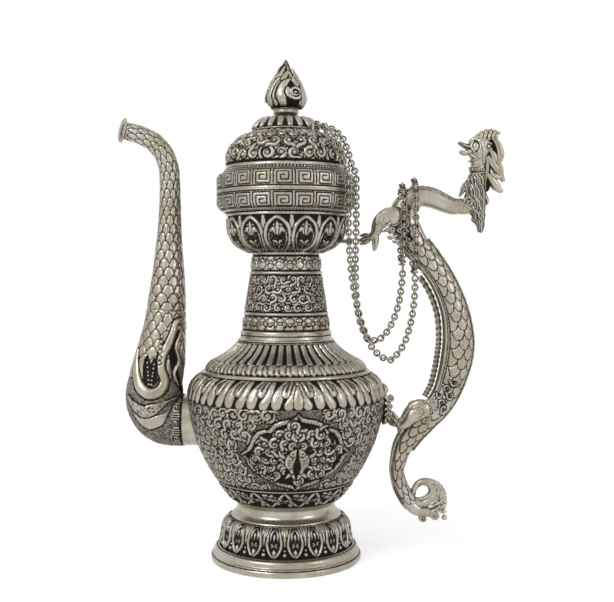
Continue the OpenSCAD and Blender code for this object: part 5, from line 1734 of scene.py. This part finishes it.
def link_places(path, owner, step):
    """Middles, directions and owners of links about step apart; stretches meet where two links touch."""
    edges = [0] + [k for k in range(1, len(path)) if owner[k] != owner[k - 1]] + [len(path)]
    places, names = [], []
    for i, (a, b) in enumerate(zip(edges, edges[1:])):
        first, last = i == 0, i == len(edges) - 2
        points = list(path[a:b])
        if not first:
            points.insert(0, (path[a - 1] + path[a]) / 2)
        if not last:
            points.append((path[b - 1] + path[b]) / 2)
        points = np.array(points)
        run = run_of(points)
        halves = 0.5 * (first + last)
        count = max(1, int(round(run[-1] / step + halves)))
        at = (np.arange(count) + (0.0 if first else 0.5)) * run[-1] / (count - halves)
        places += list(np.stack([np.interp(at, run, points[:, k]) for k in range(3)], 1))
        names += [owner[a]] * count
    places = np.array(places)
    return places, unit(np.gradient(places, axis=0)), names


def link_mesh(half_long, half_wide, wire):
    """One oval ring in its own plane: its points in mm and its faces."""
    deselect()
    bpy.ops.mesh.primitive_torus_add(major_segments=20, minor_segments=8, major_radius=1.0, minor_radius=wire)
    ring = bpy.context.object
    co = np.array([v.co[:] for v in ring.data.vertices])
    faces = [tuple(p.vertices) for p in ring.data.polygons]
    bpy.data.objects.remove(ring, do_unlink=True)
    around = np.arctan2(co[:, 1], co[:, 0])
    out = np.hypot(co[:, 0], co[:, 1]) - 1.0
    flat = np.stack([np.cos(around) * (half_long + out), np.sin(around) * (half_wide + out), co[:, 2]], 1)
    return flat, faces


# Sizes of a link in mm: radius of the wire, half the length and half the width of its middle line, and the
# distance to the next link.
LINK_WIRE, LINK_LONG, LINK_WIDE, LINK_STEP = 0.53, 1.93, 1.62, 2.62


class EWER_OT_chain(bpy.types.Operator):
    """Close oval links of the two strands and their loops, each riding with its stretch of chain"""
    bl_idname = "ewer.chain"
    bl_label = "Chain"

    def execute(self, context):
        ring, faces = link_mesh(LINK_LONG, LINK_WIDE, LINK_WIRE)
        inside = 1.2 - np.hypot(ring[:, 0] / LINK_LONG, ring[:, 1] / LINK_WIDE) * 1.1
        dark = np.clip(np.clip(inside, 0, 1) * 2.2, 0, 0.9)
        lo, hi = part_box("lid_staple")
        bar = np.array((lo + hi) / 2) / MM
        for strand in ("outer", "inner"):
            end = "chain_loop_" + strand
            run = ["chain_lid_" + strand] + [f"chain_{strand}_{k}" for k in ("left", "bend", "right")]
            casts = {name: Cast() for name in run + [end]}
            path, owner, at = [], [], bar
            for name in run:
                found = link_centres(name, at)
                path += found
                owner += [name] * len(found)
                at = found[-1]
            path[0] = path[0] + unit(bar - path[0]) * 0.5
            loop = link_centres(end, at)
            loop = np.array(loop + loop[:1])
            count = int(round(length_of(loop) / LINK_STEP / 2)) * 2
            places = spread(loop, count + 1)
            tangent = unit(np.gradient(places, axis=0))
            for closed, links in ((False, link_places(path, owner, LINK_STEP)),
                                  (True, (places[:-1], tangent[:-1], [end] * count))):
                for k, (c, t, name) in enumerate(zip(*links)):
                    near = np.array([1.0, 0, 0] if closed and abs(t[1]) >= 0.8 else [0, 1.0, 0])
                    flat = unit(near - t * (near @ t))
                    normal = np.cross(t, flat) if k % 2 else flat
                    across = np.cross(normal, t)
                    co = c + ring[:, :1] * t + ring[:, 1:2] * across + ring[:, 2:] * normal
                    casts[name].add(co, faces, dark)
            for name, cast in casts.items():
                dress(cast.make(name + "_links"), "link", body=body_of(NODES[name])[0],
                      nodes=(name,))
        NODES["lid_staple"].data.materials.clear()
        NODES["lid_staple"].data.materials.append(finish_of("link"))
        return {"FINISHED"}


# ---------------------------------------------------------------- stage

def seen_rays(nt):
    """1 for the rays that show a background: camera, mirror and glass rays."""
    path = nt.nodes.new("ShaderNodeLightPath")
    last = path.outputs["Is Camera Ray"]
    for kind in ("Is Glossy Ray", "Is Transmission Ray"):
        top = nt.nodes.new("ShaderNodeMath")
        top.operation = "MAXIMUM"
        nt.links.new(last, top.inputs[0])
        nt.links.new(path.outputs[kind], top.inputs[1])
        last = top.outputs[0]
    return last


def paper_floor(name, colour, glow):
    """Matt pale paper that reaches white where no shadow falls."""
    mat = bpy.data.materials.new(name)
    mat.use_nodes = True
    nt = mat.node_tree
    nt.nodes.clear()
    out, paper, shine, both = (nt.nodes.new(k) for k in ("ShaderNodeOutputMaterial", "ShaderNodeBsdfDiffuse",
                                                         "ShaderNodeEmission", "ShaderNodeAddShader"))
    paper.inputs["Color"].default_value = (*colour, 1)
    scale = nt.nodes.new("ShaderNodeMath")
    scale.operation = "MULTIPLY"
    scale.inputs[1].default_value = glow
    nt.links.new(seen_rays(nt), scale.inputs[0])
    nt.links.new(scale.outputs[0], shine.inputs["Strength"])
    nt.links.new(paper.outputs[0], both.inputs[0])
    nt.links.new(shine.outputs[0], both.inputs[1])
    nt.links.new(both.outputs[0], out.inputs["Surface"])
    return mat


# Where the camera stands, m, and its tilt, degrees: 90 would look level.
CAMERA_AT, CAMERA_TILT = (0.0127, -0.588, 0.174), 88.2
PAPER = (0.86, 0.86, 0.86)


class EWER_OT_stage(bpy.types.Operator):
    """Pale floor, soft lamps, room light and the camera"""
    bl_idname = "ewer.stage"
    bl_label = "Stage"

    def execute(self, context):
        scene = context.scene
        p = scene.ewer_stage
        deselect()
        bpy.ops.mesh.primitive_plane_add(size=6.0, location=(0, 0, 0))
        floor = context.object
        floor.name = "floor"
        floor.data.materials.append(paper_floor("pale_floor", PAPER, p.floor_glow))

        def lamp(name, size, power, where, to):
            data = bpy.data.lights.new(name, "AREA")
            data.shape = "DISK"
            data.size = size
            data.energy = power
            obj = bpy.data.objects.new(name, data)
            scene.collection.objects.link(obj)
            obj.location = where
            obj.rotation_mode = "QUATERNION"
            obj.rotation_quaternion = (Vector(to) - Vector(where)).to_track_quat("-Z", "Y")

        lamp("soft_box_left", 0.7, p.lamp, (-0.75, -0.85, 0.95), (0, 0, 0.13))
        lamp("soft_box_right", 0.5, p.lamp * 0.3, (0.95, -0.7, 0.55), (0, 0, 0.13))

        world = bpy.data.worlds.new("room")
        scene.world = world
        world.use_nodes = True
        nt = world.node_tree
        nt.nodes.clear()
        out = nt.nodes.new("ShaderNodeOutputWorld")
        room, seen, mix = (nt.nodes.new(k) for k in ("ShaderNodeBackground", "ShaderNodeBackground",
                                                     "ShaderNodeMixShader"))
        room.inputs["Color"].default_value = (1, 1, 1, 1)
        room.inputs["Strength"].default_value = p.air
        seen.inputs["Color"].default_value = (1, 1, 1, 1)
        seen.inputs["Strength"].default_value = 1.0
        nt.links.new(seen_rays(nt), mix.inputs[0])
        nt.links.new(room.outputs[0], mix.inputs[1])
        nt.links.new(seen.outputs[0], mix.inputs[2])
        nt.links.new(mix.outputs[0], out.inputs["Surface"])

        data = bpy.data.cameras.new("view")
        cam = bpy.data.objects.new("view", data)
        scene.collection.objects.link(cam)
        data.sensor_width = 36
        data.lens = p.lens
        data.dof.use_dof = False
        data.clip_start = 0.01
        cam.location = CAMERA_AT
        cam.rotation_euler = (math.radians(CAMERA_TILT), 0, 0)
        scene.camera = cam
        scene.view_settings.view_transform = "Standard"
        return {"FINISHED"}


# ---------------------------------------------------------------- panel and registration

STEPS = ("belly", "neck", "cup", "lid", "spout", "dragon_body", "dragon_head", "dragon_limbs", "rosette",
         "plain_parts", "chain", "stage")


class EWER_PT_panel(bpy.types.Panel):
    bl_idname = "EWER_PT_panel"
    bl_label = "Silver ewer"
    bl_space_type = "VIEW_3D"
    bl_region_type = "UI"
    bl_category = "Ewer"

    def draw(self, context):
        layout = self.layout
        scene = context.scene
        for label, holder, names in (
                ("Ornament", scene.ewer_ornament, ("leaf_count", "flute_count", "key_count", "cup_petals",
                                                   "foot_petals", "scroll_pitch", "pitch")),
                ("Finish", scene.ewer_finish, ("silver", "patina_and_shade")),
                ("Stage", scene.ewer_stage, ("lamp", "air", "floor_glow", "lens"))):
            box = layout.box()
            box.label(text=label)
            for name in names:
                box.prop(holder, name)
        column = layout.column(align=True)
        for step in STEPS:
            column.operator("ewer." + step)


CLASSES = (EwerOrnament, EwerFinish, EwerStage, EWER_OT_belly, EWER_OT_neck, EWER_OT_cup, EWER_OT_lid,
           EWER_OT_spout, EWER_OT_dragon_body, EWER_OT_dragon_head, EWER_OT_dragon_limbs, EWER_OT_rosette,
           EWER_OT_plain_parts, EWER_OT_chain, EWER_OT_stage, EWER_PT_panel)


def register():
    for cls in CLASSES:
        bpy.utils.register_class(cls)
    bpy.types.Scene.ewer_ornament = bpy.props.PointerProperty(type=EwerOrnament)
    bpy.types.Scene.ewer_finish = bpy.props.PointerProperty(type=EwerFinish)
    bpy.types.Scene.ewer_stage = bpy.props.PointerProperty(type=EwerStage)


def unregister():
    del bpy.types.Scene.ewer_stage
    del bpy.types.Scene.ewer_finish
    del bpy.types.Scene.ewer_ornament
    for cls in reversed(CLASSES):
        bpy.utils.unregister_class(cls)


def main():
    register()
    for step in STEPS:
        getattr(bpy.ops.ewer, step)()


if __name__ == "__main__":
    main()
